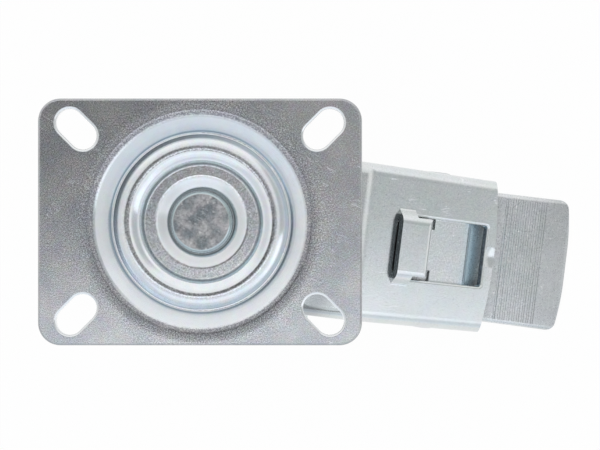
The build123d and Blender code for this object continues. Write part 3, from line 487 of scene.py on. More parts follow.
@dataclass(frozen=True)
class Outline:
    """A rounded rectangle about the swivel axis whose rolled border gets painted shade."""

    half_length_mm: float
    half_width_mm: float
    corner_mm: float
    band_mm: float = 0.9
    share: float = 0.5
    colour: Colour = (0.42, 0.43, 0.44)

    def mask(self, weaver: Weaver) -> Socket:
        """Makes the border's mask.

        Args:
            weaver: the material's weaver.

        Returns:
            The mask, 1 at the outline and 0 inside the band.
        """
        straight_x, straight_y = self.half_length_mm - self.corner_mm, self.half_width_mm - self.corner_mm
        inner = (straight_x * MM, straight_y * MM, 0.0)
        flat = weaver.vector("ABSOLUTE", weaver.flat_place()).outputs[0]
        past = weaver.vector("SUBTRACT", flat, inner).outputs[0]
        length = weaver.length(weaver.vector("MAXIMUM", past, (0.0, 0.0, 0.0)).outputs[0])
        along, side, _ = weaver.axes(past)
        within = weaver.math("MINIMUM", weaver.math("MAXIMUM", along, side), 0.0)
        depth = weaver.math("SUBTRACT", self.corner_mm * MM, weaver.math("ADD", length, within))
        return weaver.remap(depth, self.band_mm * MM, 0.35 * self.band_mm * MM, smooth=True)


@dataclass(frozen=True)
class CutFace:
    """Sheared faces that look one way: bare sheared steel, black and mottled with painted shade, and brownish
    beyond a given place.
    """

    way: Colour
    side: Colour
    brown_from_mm: float
    half_width_mm: float = 10.6
    border_mm: float = 0.6
    dark: Colour = (0.05, 0.065, 0.07)
    light: Colour = (0.32, 0.36, 0.37)
    brown_dark: Colour = (0.19, 0.17, 0.17)
    brown_light: Colour = (0.74, 0.68, 0.65)
    least_facing: float = 0.93
    full_facing: float = 0.98

    def within(self, weaver: Weaver) -> Socket:
        """Makes the mask of what lies between the sides of the cut.

        Args:
            weaver: the material's weaver.

        Returns:
            The mask's socket.
        """
        across = weaver.math("ABSOLUTE", weaver.dot(weaver.object_place(), self.side))
        return weaver.remap(across, (self.half_width_mm + self.border_mm) * MM, self.half_width_mm * MM)

    def tone(self, weaver: Weaver, grain: Socket) -> Socket:
        """Mixes the torn metal's colour; its black carries painted shade.

        Args:
            weaver: the material's weaver.
            grain: the skin's grain.

        Returns:
            The colour's socket.
        """
        mottled = weaver.math("POWER", grain, 3.0)
        shaded_black = weaver.blend(mottled, self.dark, self.light)
        brown = weaver.blend(mottled, self.brown_dark, self.brown_light)
        along = weaver.axes(weaver.object_place())[0]
        return weaver.blend(weaver.math("GREATER_THAN", along, self.brown_from_mm * MM), shaded_black, brown)


@dataclass(frozen=True)
class Fold:
    """A shallow sag about the swivel axis, which softens how a pressed bend catches the light."""

    inner_mm: float
    outer_mm: float
    depth_mm: float

    def height(self, weaver: Weaver) -> Socket:
        """Makes the sag's height.

        Args:
            weaver: the material's weaver.

        Returns:
            The height in metres, 0 outside the sag.
        """
        return weaver.remap(weaver.swivel_radius(), self.inner_mm * MM, self.outer_mm * MM,
                            -self.depth_mm * MM, 0.0, smooth=True)


@dataclass(frozen=True)
class GrainFade:
    """How the coarse grain gets weaker away from the swivel axis."""

    inner_mm: float
    outer_mm: float
    least: float

    def strength(self, weaver: Weaver) -> Socket:
        """Makes the share of the grain that is kept.

        Args:
            weaver: the material's weaver.

        Returns:
            The share's socket.
        """
        return weaver.remap(weaver.swivel_radius(), self.inner_mm * MM, self.outer_mm * MM, 1.0, self.least)


@dataclass(frozen=True)
class SlotRim:
    """The soft bright rim that shearing leaves round four slots, which lie at 45 degrees about the axis."""

    centre_x_mm: float = 40.0
    centre_y_mm: float = 30.0
    half_run_mm: float = 3.0
    radius_mm: float = 4.5
    rim_mm: float = 0.8
    depth_mm: float = 0.25
    colour: Colour = (0.80, 0.82, 0.83)

    def distance(self, weaver: Weaver) -> Socket:
        """Makes the distance from the nearest slot's edge.

        Args:
            weaver: the material's weaver.

        Returns:
            The distance in metres.
        """
        run = (math.sqrt(0.5), math.sqrt(0.5), 0.0)
        half_run = self.half_run_mm * MM
        centre = (self.centre_x_mm * MM, self.centre_y_mm * MM, 0.0)
        flat = weaver.vector("ABSOLUTE", weaver.flat_place()).outputs[0]
        past = weaver.vector("SUBTRACT", flat, centre).outputs[0]
        along = weaver.math("MINIMUM", weaver.dot(past, run), half_run)
        along = weaver.math("MAXIMUM", along, -half_run)
        away = weaver.vector("SUBTRACT", past, weaver.scaled(run, along)).outputs[0]
        return weaver.math("SUBTRACT", weaver.length(away), self.radius_mm * MM)

    def mask(self, weaver: Weaver) -> Socket:
        """Makes the rim's mask, 1 at the slots' edges.

        Args:
            weaver: the material's weaver.

        Returns:
            The mask's socket.
        """
        return weaver.remap(self.distance(weaver), self.rim_mm * MM, 0.4 * self.rim_mm * MM, smooth=True)

    def height(self, weaver: Weaver) -> Socket:
        """Makes the rim's height, which falls towards the slots.

        Args:
            weaver: the material's weaver.

        Returns:
            The height in metres, 0 outside the rim.
        """
        depth = -self.depth_mm * MM
        return weaver.remap(self.distance(weaver), 0.0, self.rim_mm * MM, depth, 0.0, smooth=True)


@dataclass(frozen=True)
class MetalFinish:
    """Plated or bare steel: a smooth pressed skin, and a coarse granular one where it is left rough."""

    name: str
    skin: Colour
    tint: Colour
    skin_roughness: float
    grain_place: GrainPlace = GrainPlace.EVERYWHERE
    grain_share: float = 0.15
    grain_light: Colour = (0.80, 0.80, 0.81)
    grain_dark: Colour = (0.34, 0.34, 0.36)
    grain_mm: float = 0.45
    grain_roughness: float = 0.3
    grain_height_mm: float = 0.015
    cloud_mm: float = 22.0
    cloud_tone: float = 0.5
    coarse_cloud: float = 0.35
    mottle_mm: float = 5.0
    mottle: float = 0.25
    bright_specks: float = 0.3
    dark_specks: float = 0.3
    scratches: float = 0.3
    scratch_angle: float = 0.5
    speck_light: Colour = (0.95, 0.95, 0.95)
    speck_dark: Colour = (0.15, 0.15, 0.16)
    speck_least: float = 0.2
    speck_rough: float = 0.3
    scratch_light: Colour = (0.93, 0.94, 0.96)
    scratch_share: float = 0.55
    scratch_depth: float = 0.5
    smooth_bump: float = 0.12
    roughness_spread: float = 0.03
    rough_rings: tuple[RoughRing, ...] = ()
    grime_and_shade_rings: tuple[GrimeAndShadeRing, ...] = ()
    outline: Outline | None = None
    cut_face: CutFace | None = None
    folds: tuple[Fold, ...] = ()
    slot_rim: SlotRim | None = None
    grain_fade: GrainFade | None = None

    def rough(self, weaver: Weaver, effects: Effects) -> object:
        """Finds where the skin is granular.

        Args:
            weaver: the material's weaver.
            effects: the shared shader groups.

        Returns:
            The mask's socket, or one share for the whole skin.
        """
        if self.grain_place is GrainPlace.EVERYWHERE:
            return self.grain_share
        if self.grain_place is GrainPlace.FLATS:
            return effects.use(weaver, effects.facing)["Facing"]
        total = 0.0
        for ring in self.rough_rings:
            zone = effects.use(weaver, effects.zone, Inner=ring.inner_mm * MM, Outer=ring.outer_mm * MM,
                               Soft=ring.soft_mm * MM)["Zone"]
            total = weaver.math("MAXIMUM", weaver.math("MULTIPLY", zone, ring.share), total)
        if self.slot_rim:
            off_rim = weaver.math("SUBTRACT", 1.0, self.slot_rim.mask(weaver))
            total = weaver.math("MULTIPLY", total, off_rim)
        return total

    def clean_tone(self, weaver: Weaver, effects: Effects, rough: object, grain: dict[str, Socket]) -> Socket:
        """Mixes the colour of the clean skin, smooth and granular, with its patches and specks.

        Args:
            weaver: the material's weaver.
            effects: the shared shader groups.
            rough: where the skin is granular.
            grain: the grain group's outputs.

        Returns:
            The colour's socket.
        """
        cloud = effects.use(weaver, effects.cloud, Size=self.cloud_mm * MM)["Cloud"]
        skin = weaver.blend(weaver.math("MULTIPLY", cloud, self.cloud_tone), self.skin, self.tint)
        keep = self.grain_fade.strength(weaver) if self.grain_fade else 1.0
        level = weaver.math("MULTIPLY_ADD", weaver.math("SUBTRACT", grain["Grain"], 0.5), keep, 0.5)
        coarse = weaver.blend(level, self.grain_dark, self.grain_light)
        clouded = weaver.math("MULTIPLY", cloud, self.coarse_cloud)
        coarse = weaver.blend(clouded, coarse, self.tint, "MULTIPLY")
        tone = weaver.blend(rough, skin, coarse)
        patches = effects.use(weaver, effects.mottle, Size=self.mottle_mm * MM, Amount=self.mottle)
        tone = weaver.blend(1.0, tone, patches["Colour"], "MULTIPLY")
        speckled = weaver.remap(rough, 0.0, self.speck_rough, self.speck_least, 1.0)
        speckled = weaver.math("MULTIPLY", speckled, keep)
        for kind, share, colour in (("Bright", self.bright_specks, self.speck_light),
                                    ("Dark", self.dark_specks, self.speck_dark)):
            specks = weaver.math("MULTIPLY", grain[kind], weaver.math("MULTIPLY", speckled, share))
            tone = weaver.blend(specks, tone, colour)
        return tone

    def worn_and_shaded_tone(
        self, weaver: Weaver, effects: Effects, tone: Socket, grain: dict[str, Socket], marks: Socket
    ) -> Socket:
        """Lays scratches, the soft dark rings (a dark joint, painted shade and darker bands), painted shade
        on the rolled border, and cut faces with painted shade over the clean skin.

        Args:
            weaver: the material's weaver.
            effects: the shared shader groups.
            tone: the clean skin's colour.
            grain: the grain group's outputs.
            marks: mask of the scratches.

        Returns:
            The colour's socket.
        """
        tone = weaver.blend(weaver.math("MULTIPLY", marks, self.scratch_share), tone, self.scratch_light)
        # the soft dark rings: a dark joint, painted shade, painted shadow and darker bands
        for dark_ring in self.grime_and_shade_rings:
            tone = weaver.blend(dark_ring.mask(weaver, effects, grain["Grain"]), tone, dark_ring.colour)
        if self.outline:
            # painted shade along the plate's rolled border
            shaded_border = weaver.math("MULTIPLY", self.outline.mask(weaver), self.outline.share)
            tone = weaver.blend(shaded_border, tone, self.outline.colour)
        if self.slot_rim:
            tone = weaver.blend(self.slot_rim.mask(weaver), tone, self.slot_rim.colour)
        if self.cut_face:
            facing = dict(zip("XYZ", self.cut_face.way))
            facing.update(Least=self.cut_face.least_facing, Full=self.cut_face.full_facing)
            cut = effects.use(weaver, effects.facing, **facing)["Facing"]
            cut = weaver.math("MULTIPLY", cut, self.cut_face.within(weaver))
            # cut faces: bare sheared steel, whose black carries painted shade
            tone = weaver.blend(cut, tone, self.cut_face.tone(weaver, grain["Grain"]))
        return tone

    def relief(self, weaver: Weaver, rough: object, grain: dict[str, Socket], marks: Socket) -> Socket:
        """Makes the skin's relief: its grain and scratches, over the soft bends.

        Args:
            weaver: the material's weaver.
            rough: where the skin is granular.
            grain: the grain group's outputs.
            marks: mask of the scratches.

        Returns:
            The normal's socket.
        """
        bump = weaver.node("ShaderNodeBump")
        bump.inputs["Distance"].default_value = self.grain_height_mm * MM
        height = weaver.math("MULTIPLY", grain["Grain"], weaver.remap(rough, 0.0, 1.0, self.smooth_bump, 1.0))
        cut = weaver.math("MULTIPLY", marks, self.scratch_depth)
        weaver.put(bump.inputs["Height"], weaver.math("SUBTRACT", height, cut))
        shapes = [*self.folds, *([self.slot_rim] if self.slot_rim else [])]
        if shapes:
            sag = weaver.node("ShaderNodeBump")
            sag.inputs["Distance"].default_value = 1.0
            total = shapes[0].height(weaver)
            for shape in shapes[1:]:
                total = weaver.math("ADD", total, shape.height(weaver))
            weaver.put(sag.inputs["Height"], total)
            weaver.put(bump.inputs["Normal"], sag.outputs[0])
        return bump.outputs[0]

    def build(self, effects: Effects) -> bpy.types.Material:
        """Makes the material.

        Args:
            effects: the shared shader groups.

        Returns:
            The new material.
        """
        material = bpy.data.materials.new(self.name)
        material.use_nodes = True
        weaver = Weaver(material.node_tree)
        shader = material.node_tree.nodes["Principled BSDF"]
        shader.inputs["Metallic"].default_value = 1.0
        grain = effects.use(weaver, effects.grain, Size=self.grain_mm * MM)
        scratch = {"Angle": self.scratch_angle, "Amount": self.scratches}
        marks = effects.use(weaver, effects.scratch, **scratch)["Scratch"]
        rough = self.rough(weaver, effects)
        tone = self.clean_tone(weaver, effects, rough, grain)
        weaver.put(shader.inputs["Base Color"], self.worn_and_shaded_tone(weaver, effects, tone, grain, marks))
        base = weaver.remap(rough, 0.0, 1.0, self.skin_roughness, self.grain_roughness)
        uneven = weaver.remap(grain["Grain"], 0.0, 1.0, -self.roughness_spread, self.roughness_spread)
        weaver.put(shader.inputs["Roughness"], weaver.math("ADD", base, uneven))
        weaver.put(shader.inputs["Normal"], self.relief(weaver, rough, grain, marks))
        return material


@dataclass(frozen=True)
class MouldedFinish:
    """Rubber or plastic, with a fine skin and a little dust."""

    name: str
    colour: Colour
    dusty: Colour
    roughness: float
    specular: float = 0.5
    grain_mm: float = 0.9
    grain_height_mm: float = 0.03
    dust: float = 0.5
    dust_cloud_mm: float = 14.0
    dust_roughness: float = 0.15
    scratches: float = 0.15
    scratch_angle: float = 1.1
    scratch_share: float = 0.3

    def build(self, effects: Effects) -> bpy.types.Material:
        """Makes the material.

        Args:
            effects: the shared shader groups.

        Returns:
            The new material.
        """
        material = bpy.data.materials.new(self.name)
        material.use_nodes = True
        weaver = Weaver(material.node_tree)
        shader = material.node_tree.nodes["Principled BSDF"]
        shader.inputs["Metallic"].default_value = 0.0
        shader.inputs["Specular IOR Level"].default_value = self.specular
        grain = effects.use(weaver, effects.grain, Size=self.grain_mm * MM)
        cloud = effects.use(weaver, effects.cloud, Size=self.dust_cloud_mm * MM)["Cloud"]
        scratch = {"Angle": self.scratch_angle, "Amount": self.scratches}
        marks = effects.use(weaver, effects.scratch, **scratch)["Scratch"]
        lying = weaver.math("MULTIPLY", cloud, grain["Grain"])
        tone = weaver.blend(weaver.math("MULTIPLY", lying, self.dust), self.colour, self.dusty)
        tone = weaver.blend(weaver.math("MULTIPLY", marks, self.scratch_share), tone, self.dusty)
        weaver.put(shader.inputs["Base Color"], tone)
        dusty_roughness = self.roughness + self.dust_roughness
        weaver.put(shader.inputs["Roughness"], weaver.remap(lying, 0.0, 1.0, self.roughness, dusty_roughness))
        bump = weaver.node("ShaderNodeBump")
        bump.inputs["Distance"].default_value = self.grain_height_mm * MM
        weaver.put(bump.inputs["Height"], grain["Grain"])
        weaver.put(shader.inputs["Normal"], bump.outputs[0])
        return material


Finish = MetalFinish | MouldedFinish

JOINT_GRIME = GrimeAndShadeRing(radius_mm=10.9, width_mm=0.4, share=0.85, colour=(0.07, 0.11, 0.12))

FORMED_STEEL = MetalFinish(
    name="formed_steel", skin=(0.60, 0.63, 0.64), tint=(0.50, 0.55, 0.55), skin_roughness=0.22,
    grain_place=GrainPlace.FLATS, grain_light=(0.62, 0.61, 0.62), grain_dark=(0.26, 0.25, 0.26),
    grain_roughness=0.42, grain_mm=0.7, grain_height_mm=0.03, cloud_mm=4.0,
)
FASTENER_ZINC = MetalFinish(
    name="fastener_zinc", skin=(0.78, 0.81, 0.82), tint=(0.68, 0.74, 0.71), skin_roughness=0.18, cloud_mm=8.0,
)
BALL_STEEL = MetalFinish(
    name="ball_steel", skin=(0.70, 0.70, 0.70), tint=(0.56, 0.52, 0.44), skin_roughness=0.12, grain_share=0.0,
    grain_mm=1.4, grain_height_mm=0.001, bright_specks=0.0, scratches=0.0,
)
BEARING_PLASTIC = MouldedFinish(
    name="bearing_plastic", colour=(0.03, 0.03, 0.032), dusty=(0.06, 0.06, 0.06), roughness=0.45,
    grain_mm=0.6, grain_height_mm=0.01, dust=0.25,
)


@dataclass
class Wardrobe:
    """Builds each finish once and puts it on the CAD nodes."""

    nodes: Nodes
    effects: Effects
    made: dict[str, bpy.types.Material] = field(default_factory=dict)

    def dress(self, finish: Finish, *names: str) -> None:
        """Puts a finish on CAD nodes.

        Args:
            finish: the finish.
            names: the nodes' names.
        """
        if finish.name not in self.made:
            self.made[finish.name] = finish.build(self.effects)
        for name in names:
            materials = self.nodes[name].data.materials
            materials.clear()
            materials.append(self.made[finish.name])
            LOG.info("%s wears %s", name, finish.name)


@dataclass(frozen=True)
class MountingPlate:
    """The pressed plate with its dish, and the race cup under it."""

    half_length_mm: float = 52.5
    half_width_mm: float = 40.0
    corner_mm: float = 7.3
    dish_mm: float = 34.6
    fold_mm: float = 5.0
    valley_mm: float = 27.9
    crest_mm: float = 23.4
    seat_inner_mm: float = 14.9
    seat_outer_mm: float = 19.5

    def finish(self) -> MetalFinish:
        """Makes the plate's zinc: bright and smooth where it is pressed, granular where it is left flat.

        Returns:
            The finish.
        """
        return MetalFinish(
            name="plate_zinc", skin=(0.83, 0.86, 0.89), tint=(0.74, 0.79, 0.84), skin_roughness=0.15,
            grain_place=GrainPlace.RINGS, grain_light=(0.88, 0.88, 0.88), grain_dark=(0.22, 0.22, 0.225),
            grain_roughness=0.19, grain_height_mm=0.007, coarse_cloud=0.7,
            bright_specks=0.25, dark_specks=0.2, mottle=0.26, mottle_mm=3.0, cloud_mm=16.0,
            rough_rings=(
                RoughRing(self.seat_inner_mm, self.seat_outer_mm, 0.6),
                RoughRing(self.dish_mm, 2 * self.half_length_mm, 1.0, 0.5),
            ),
            grime_and_shade_rings=(
                # painted shade, broken by the grain, where the flats roll into the dish
                GrimeAndShadeRing(self.dish_mm + 0.3, 2.6, 0.8, (0.15, 0.15, 0.18), granular=0.45, crisp_inside=True),
                # painted shade on the slope's lower and upper half, and on the fall to the rivet
                GrimeAndShadeRing(self.dish_mm - 3.7, 1.6, 0.3, (0.28, 0.31, 0.35)),
                GrimeAndShadeRing(self.dish_mm - 1.4, 1.6, 0.5, (0.66, 0.69, 0.72)),
                GrimeAndShadeRing(JOINT_GRIME.radius_mm + 2.0, 1.7, 0.6, (0.64, 0.66, 0.67)),
                # painted shade lines at the slope's foot, in the valley and round the seat; a darker granular
                # band on the crest; the dark joint round the rivet
                GrimeAndShadeRing(self.dish_mm - 4.9, 0.4, 0.75, (0.22, 0.29, 0.34)),
                GrimeAndShadeRing(self.valley_mm, 0.5, 0.35, (0.40, 0.55, 0.65)),
                GrimeAndShadeRing(self.crest_mm, 1.7, 0.85, (0.20, 0.20, 0.21), granular=0.6, crisp_inside=True),
                GrimeAndShadeRing(self.seat_outer_mm - 0.2, 0.25, 0.5, (0.30, 0.30, 0.32)),
                JOINT_GRIME,
            ),
            outline=Outline(self.half_length_mm, self.half_width_mm, self.corner_mm),
            folds=(
                Fold(self.dish_mm + 0.3, self.dish_mm + self.fold_mm, 0.13),
                Fold(self.seat_outer_mm - 0.6, self.crest_mm - 1.4, -0.32),
            ),
            slot_rim=SlotRim(),
            grain_fade=GrainFade(self.dish_mm + 3.0, self.dish_mm + 12.0, 0.4),
        )

    def dress(self, wardrobe: Wardrobe) -> None:
        """Dresses the plate's pieces.

        Args:
            wardrobe: where the finishes are kept.
        """
        wardrobe.dress(self.finish(), "top_plate", "lower_race_cup")


@dataclass(frozen=True)
class SwivelBearing:
    """The two ball rows and the rivet that holds them."""

    def dress(self, wardrobe: Wardrobe) -> None:
        """Dresses the bearing's pieces.

        Args:
            wardrobe: where the finishes are kept.
        """
        rivet = MetalFinish(
            name="rivet_steel", skin=(0.52, 0.60, 0.62), tint=(0.44, 0.52, 0.54), skin_roughness=0.2,
            grain_place=GrainPlace.FLATS, grain_light=(0.64, 0.62, 0.63), grain_dark=(0.26, 0.26, 0.27),
            grain_roughness=0.36, grain_mm=1.1, grain_height_mm=0.03, cloud_mm=4.5, coarse_cloud=1.0,
            mottle=0.1, grime_and_shade_rings=(JOINT_GRIME,),
        )
        wardrobe.dress(rivet, "kingpin_rivet")
        wardrobe.dress(BALL_STEEL, "upper_balls", "lower_balls")


@dataclass(frozen=True)
class Fork:
    """The hooded fork, turned a little about the swivel axis."""

    turn_deg: float = -7.1
    slope_deg: float = 26.0
    window_mm: float = 80.0
    under_plate_mm: float = 46.0

    def cut_way(self) -> Colour:
        """Finds the way that the sheared faces of the bridge and the window look.

        Returns:
            A vector of length 1.
        """
        turn = math.radians(self.turn_deg)
        slope = math.radians(self.slope_deg)
        return (-math.cos(slope) * math.cos(turn), -math.cos(slope) * math.sin(turn), math.sin(slope))

    def side(self) -> Colour:
        """Finds the way from the fork's middle to its left leg.

        Returns:
            A vector of length 1.
        """
        turn = math.radians(self.turn_deg)
        return (-math.sin(turn), math.cos(turn), 0.0)

    def dress(self, wardrobe: Wardrobe) -> None:
        """Dresses the fork.

        Args:
            wardrobe: where the finishes are kept.
        """
        sheet = MetalFinish(
            name="sheet_zinc", skin=(0.76, 0.79, 0.80), tint=(0.68, 0.74, 0.72), skin_roughness=0.14,
            grain_share=0.16, grain_mm=0.5, cloud_mm=18.0, scratches=0.25, mottle=0.12,
            cut_face=CutFace(self.cut_way(), self.side(), self.window_mm),
            # painted shadow under the plate's edge
            grime_and_shade_rings=(GrimeAndShadeRing(self.under_plate_mm, 5.5, 0.55, (0.26, 0.27, 0.29)),),
        )
        wardrobe.dress(sheet, "fork")


@dataclass(frozen=True)
class Brake:
    """The pedal with its shoe, its pin, and the spring that holds its two places."""

    tip_mm: float = 128.0
    curl_mm: float = 94.0

    def dress(self, wardrobe: Wardrobe) -> None:
        """Dresses the brake's pieces.

        Args:
            wardrobe: where the finishes are kept.
        """
        pedal = MetalFinish(
            name="pedal_zinc", skin=(0.77, 0.80, 0.81), tint=(0.64, 0.69, 0.68), skin_roughness=0.28,
            grain_share=0.3, grain_mm=0.6, bright_specks=1.0, dark_specks=0.0, mottle=0.1, cloud_mm=14.0,
            scratches=0.9, scratch_angle=-1.447,
            grime_and_shade_rings=(
                # darker towards the pedal's tip
                GrimeAndShadeRing(self.tip_mm, 12.0, 0.5, (0.42, 0.44, 0.44)),
                # painted shade where the pedal dips under the hood's edge
                GrimeAndShadeRing(self.curl_mm - 0.5, 2.4, 0.8, (0.50, 0.68, 0.78)),
            ),
        )
        spring = MetalFinish(
            name="spring_zinc", skin=(0.80, 0.83, 0.84), tint=(0.72, 0.77, 0.78), skin_roughness=0.2,
            grain_share=0.5, grain_mm=0.5, bright_specks=0.5, mottle=0.14, grain_dark=(0.44, 0.46, 0.47),
            # painted shade where the spring's end curls under the hood's edge
            grime_and_shade_rings=(GrimeAndShadeRing(self.curl_mm, 3.0, 0.95, (0.42, 0.66, 0.84)),),
        )
        wardrobe.dress(pedal, "brake_pedal")
        wardrobe.dress(spring, "detent_spring")
        wardrobe.dress(FORMED_STEEL, "brake_shoe", "brake_pivot_pin")


@dataclass(frozen=True)
class Axle:
    """The bolt through the fork, its nut and washers, and the tube between them."""

    def dress(self, wardrobe: Wardrobe) -> None:
        """Dresses the axle's pieces.

        Args:
            wardrobe: where the finishes are kept.
        """
        wardrobe.dress(FASTENER_ZINC, "axle_bolt", "axle_nut", "axle_washer_left", "axle_washer_right")
        wardrobe.dress(FORMED_STEEL, "axle_tube")


@dataclass(frozen=True)
class Wheel:
    """The rubber-tyred wheel on its roller bearing."""

    def dress(self, wardrobe: Wardrobe) -> None:
        """Dresses the wheel's pieces.

        Args:
            wardrobe: where the finishes are kept.
        """
        rubber = MouldedFinish(
            name="tyre_rubber", colour=(0.018, 0.018, 0.019), dusty=(0.07, 0.068, 0.064), roughness=0.62,
            specular=0.35,
        )
        wardrobe.dress(rubber, "tyre")
        wardrobe.dress(FASTENER_ZINC, "rim_disc_left", "rim_disc_right", "rim_rivets")
        wardrobe.dress(FORMED_STEEL, "hub_tube")
        wardrobe.dress(BALL_STEEL, "rollers")
        wardrobe.dress(BEARING_PLASTIC, "roller_cage", "bearing_cap_left", "bearing_cap_right")


@dataclass(frozen=True)
class Reach:
    """A stretch of a direction over which a light sets in."""

    start: float
    full: float
    smooth: bool = True

    def mask(self, weaver: Weaver, value: Socket) -> Socket:
        """Makes the light's mask.

        Args:
            weaver: the world's weaver.
            value: the direction's east, north or up.

        Returns:
            The mask's socket.
        """
        return weaver.remap(value, self.start, self.full, smooth=self.smooth)


@dataclass
class Studio:
    """Camera, floor, surroundings and lamps."""

    camera_x: float = 32.4 * MM
    camera_y: float = -1.0 * MM
    camera_height: float = 420 * MM
    focal_mm: float = 77.9
    floor_size: float = 60.0
    floor_white: float = 0.97
    floor_paper: Colour = (0.85, 0.85, 0.85)
    floor_roughness: float = 0.9
    horizon: tuple[tuple[float, float], ...] = (
        (0.0, 0.97), (0.20, 0.88), (0.34, 0.78), (0.45, 0.74), (0.62, 0.76), (0.74, 0.86), (0.88, 0.92),
    )
    cool_north: Reach = Reach(-0.1, -0.6)
    cool_share: float = 0.8
    cool_light: Colour = (0.96, 1.03, 1.11)
    back_north: Reach = Reach(0.25, 0.6)
    back_up: Reach = Reach(0.9, 0.7, smooth=False)
    back_share: float = 0.85
    back_light: Colour = (1.05, 1.05, 1.05)
    ceiling_shift: Colour = (0.08, 0.0, 0.0)
    ceiling_reach: Reach = Reach(0.34, 0.24)
    ceiling_up: Reach = Reach(0.0, 0.1, smooth=False)
    ceiling_east: Reach = Reach(-0.22, 0.04)
    ceiling_dark: Colour = (0.20, 0.20, 0.20)
    ceiling_pale: Colour = (0.49, 0.49, 0.49)
    band_start: Reach = Reach(-0.03, -0.09)
    band_end: Reach = Reach(-0.34, -0.16)
    band_light: Colour = (1.50, 1.54, 1.62)
    hood_east: Reach = Reach(0.4, 0.7)
    hood_up: Reach = Reach(0.35, 0.5)
    hood_north: Reach = Reach(-0.148, -0.120)
    hood_light: Colour = (1.20, 1.23, 1.29)
    hood_dark: Colour = (0.52, 0.54, 0.54)
    key_place: Colour = (0.05, -0.9, 0.9)
    key_aim: Colour = (0.03, 0.0, -0.03)
    key_size: tuple[float, float] = (1.6, 0.6)
    key_power: float = 0.5

    def camera(self) -> None:
        """Makes the camera that looks straight down on the plate."""
        data = bpy.data.cameras.new("camera")
        data.lens = self.focal_mm
        data.sensor_width = 36.0
        data.clip_start = 0.01
        data.clip_end = 100.0
        made = bpy.data.objects.new("camera", data)
        made.location = (self.camera_x, self.camera_y, self.camera_height)
        bpy.context.scene.collection.objects.link(made)
        bpy.context.scene.camera = made

    def floor(self, height: float) -> None:
        """Makes the pale floor.

        Args:
            height: its height, in metres.
        """
        bpy.ops.mesh.primitive_plane_add(size=self.floor_size, location=(0, 0, height))
        made = bpy.context.object
        made.name = "floor"
        material = bpy.data.materials.new("floor_paper")
        material.use_nodes = True
        weaver = Weaver(material.node_tree)
        shader = material.node_tree.nodes["Principled BSDF"]
        shader.inputs["Base Color"].default_value = (*self.floor_paper, 1.0)
        shader.inputs["Roughness"].default_value = self.floor_roughness
        shader.inputs["Specular IOR Level"].default_value = 0.0
        glow = weaver.node("ShaderNodeEmission")
        mix = weaver.node("ShaderNodeMixShader")
        rays = weaver.node("ShaderNodeLightPath")
        seen = weaver.math("MAXIMUM", rays.outputs["Is Camera Ray"], rays.outputs["Is Glossy Ray"])
        seen = weaver.math("MAXIMUM", seen, rays.outputs["Is Transmission Ray"])
        weaver.put(mix.inputs[0], weaver.math("MULTIPLY", seen, self.floor_white))
        weaver.put(mix.inputs[1], shader.outputs[0])
        weaver.put(mix.inputs[2], glow.outputs[0])
        weaver.put(material.node_tree.nodes["Material Output"].inputs[0], mix.outputs[0])
        made.data.materials.append(material)
        made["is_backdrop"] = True

    def walls(self, weaver: Weaver, north: Socket, up: Socket) -> Socket:
        """Mixes the walls' light: pale at the horizon, cooler in front and brighter behind.

        Args:
            weaver: the world's weaver.
            north: the direction's north.
            up: the direction's height.

        Returns:
            The colour's socket.
        """
        rise = weaver.node("ShaderNodeValToRGB")
        weaver.put(rise.inputs[0], up)
        while len(rise.color_ramp.elements) < len(self.horizon):
            rise.color_ramp.elements.new(0.5)
        for stop, (where, level) in zip(rise.color_ramp.elements, self.horizon):
            stop.position = where
            stop.color = (level, level, level, 1.0)
        cool = weaver.math("MULTIPLY", self.cool_north.mask(weaver, north), self.cool_share)
        tone = weaver.blend(cool, rise.outputs[0], self.cool_light, "MULTIPLY")
        back = weaver.math("MULTIPLY", self.back_north.mask(weaver, north), self.back_up.mask(weaver, up))
        return weaver.blend(weaver.math("MULTIPLY", back, self.back_share), tone, self.back_light)

    def ceiling(self, weaver: Weaver, east: Socket, north: Socket) -> Socket:
        """Mixes the ceiling's light: darker to the west, with a bright band in front.

        Args:
            weaver: the world's weaver.
            east: the direction's east.
            north: the direction's north.

        Returns:
            The colour's socket.
        """
        tone = weaver.blend(self.ceiling_east.mask(weaver, east), self.ceiling_dark, self.ceiling_pale)
        band = weaver.math("MULTIPLY", self.band_start.mask(weaver, north), self.band_end.mask(weaver, north))
        return weaver.blend(band, tone, self.band_light)

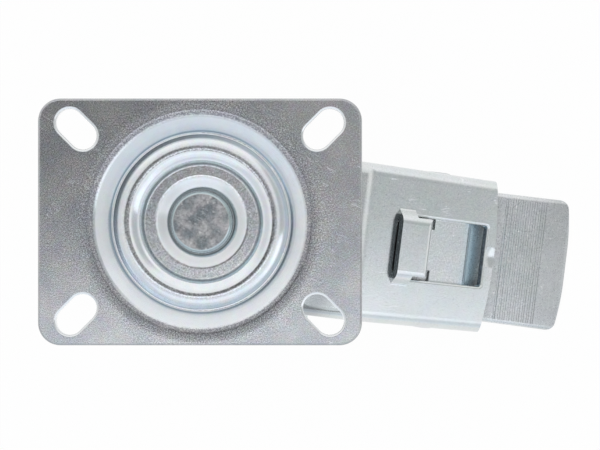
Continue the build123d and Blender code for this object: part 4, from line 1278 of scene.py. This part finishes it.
    def surroundings(self) -> None:
        """Makes what the metal reflects: walls all round, an uneven ceiling, and a light over the hood."""
        world = bpy.data.worlds.new("studio")
        bpy.context.scene.world = world
        world.use_nodes = True
        weaver = Weaver(world.node_tree)
        ray = weaver.node("ShaderNodeTexCoord").outputs["Generated"]
        east, north, up = weaver.axes(ray)
        from_middle = weaver.vector("MULTIPLY_ADD", ray, FLAT, self.ceiling_shift).outputs[0]
        above = self.ceiling_reach.mask(weaver, weaver.length(from_middle))
        above = weaver.math("MULTIPLY", above, self.ceiling_up.mask(weaver, up))
        tone = weaver.blend(above, self.walls(weaver, north, up), self.ceiling(weaver, east, north))
        beside = weaver.math("MULTIPLY", self.hood_east.mask(weaver, east), self.hood_up.mask(weaver, up))
        over_hood = weaver.blend(self.hood_north.mask(weaver, north), self.hood_light, self.hood_dark)
        tone = weaver.blend(beside, tone, over_hood)
        weaver.put(world.node_tree.nodes["Background"].inputs["Color"], tone)

    def lamp(self, name: str, place: Colour, aim: Colour, size: tuple[float, float], power: float) -> None:
        """Makes a soft rectangular lamp.

        Args:
            name: the lamp's name.
            place: where it stands, in metres.
            aim: the point it shines at.
            size: its width and height.
            power: its power in watts.
        """
        data = bpy.data.lights.new(name, "AREA")
        data.shape = "RECTANGLE"
        data.size, data.size_y = size
        data.energy = power
        made = bpy.data.objects.new(name, data)
        made.location = place
        made.rotation_euler = (Vector(aim) - Vector(place)).to_track_quat("-Z", "Y").to_euler()
        bpy.context.scene.collection.objects.link(made)

    def build(self, floor_height: float) -> None:
        """Makes the whole studio.

        Args:
            floor_height: the floor's height, in metres.
        """
        self.camera()
        self.floor(floor_height)
        self.surroundings()
        self.lamp("key", self.key_place, self.key_aim, self.key_size, self.key_power)
        bpy.context.scene.view_settings.view_transform = "Standard"


def main() -> None:
    """Loads the frame, dresses it, and builds the studio around it."""
    logging.basicConfig(level=logging.INFO, format="%(name)s: %(message)s")
    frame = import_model()
    cad_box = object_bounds()
    wardrobe = Wardrobe(frame["nodes"], Effects())
    for group in (MountingPlate(), SwivelBearing(), Fork(), Brake(), Axle(), Wheel()):
        group.dress(wardrobe)
        LOG.info("%s is dressed", type(group).__name__)
    Studio().build(cad_box[0].z)


if __name__ == "__main__":
    main()
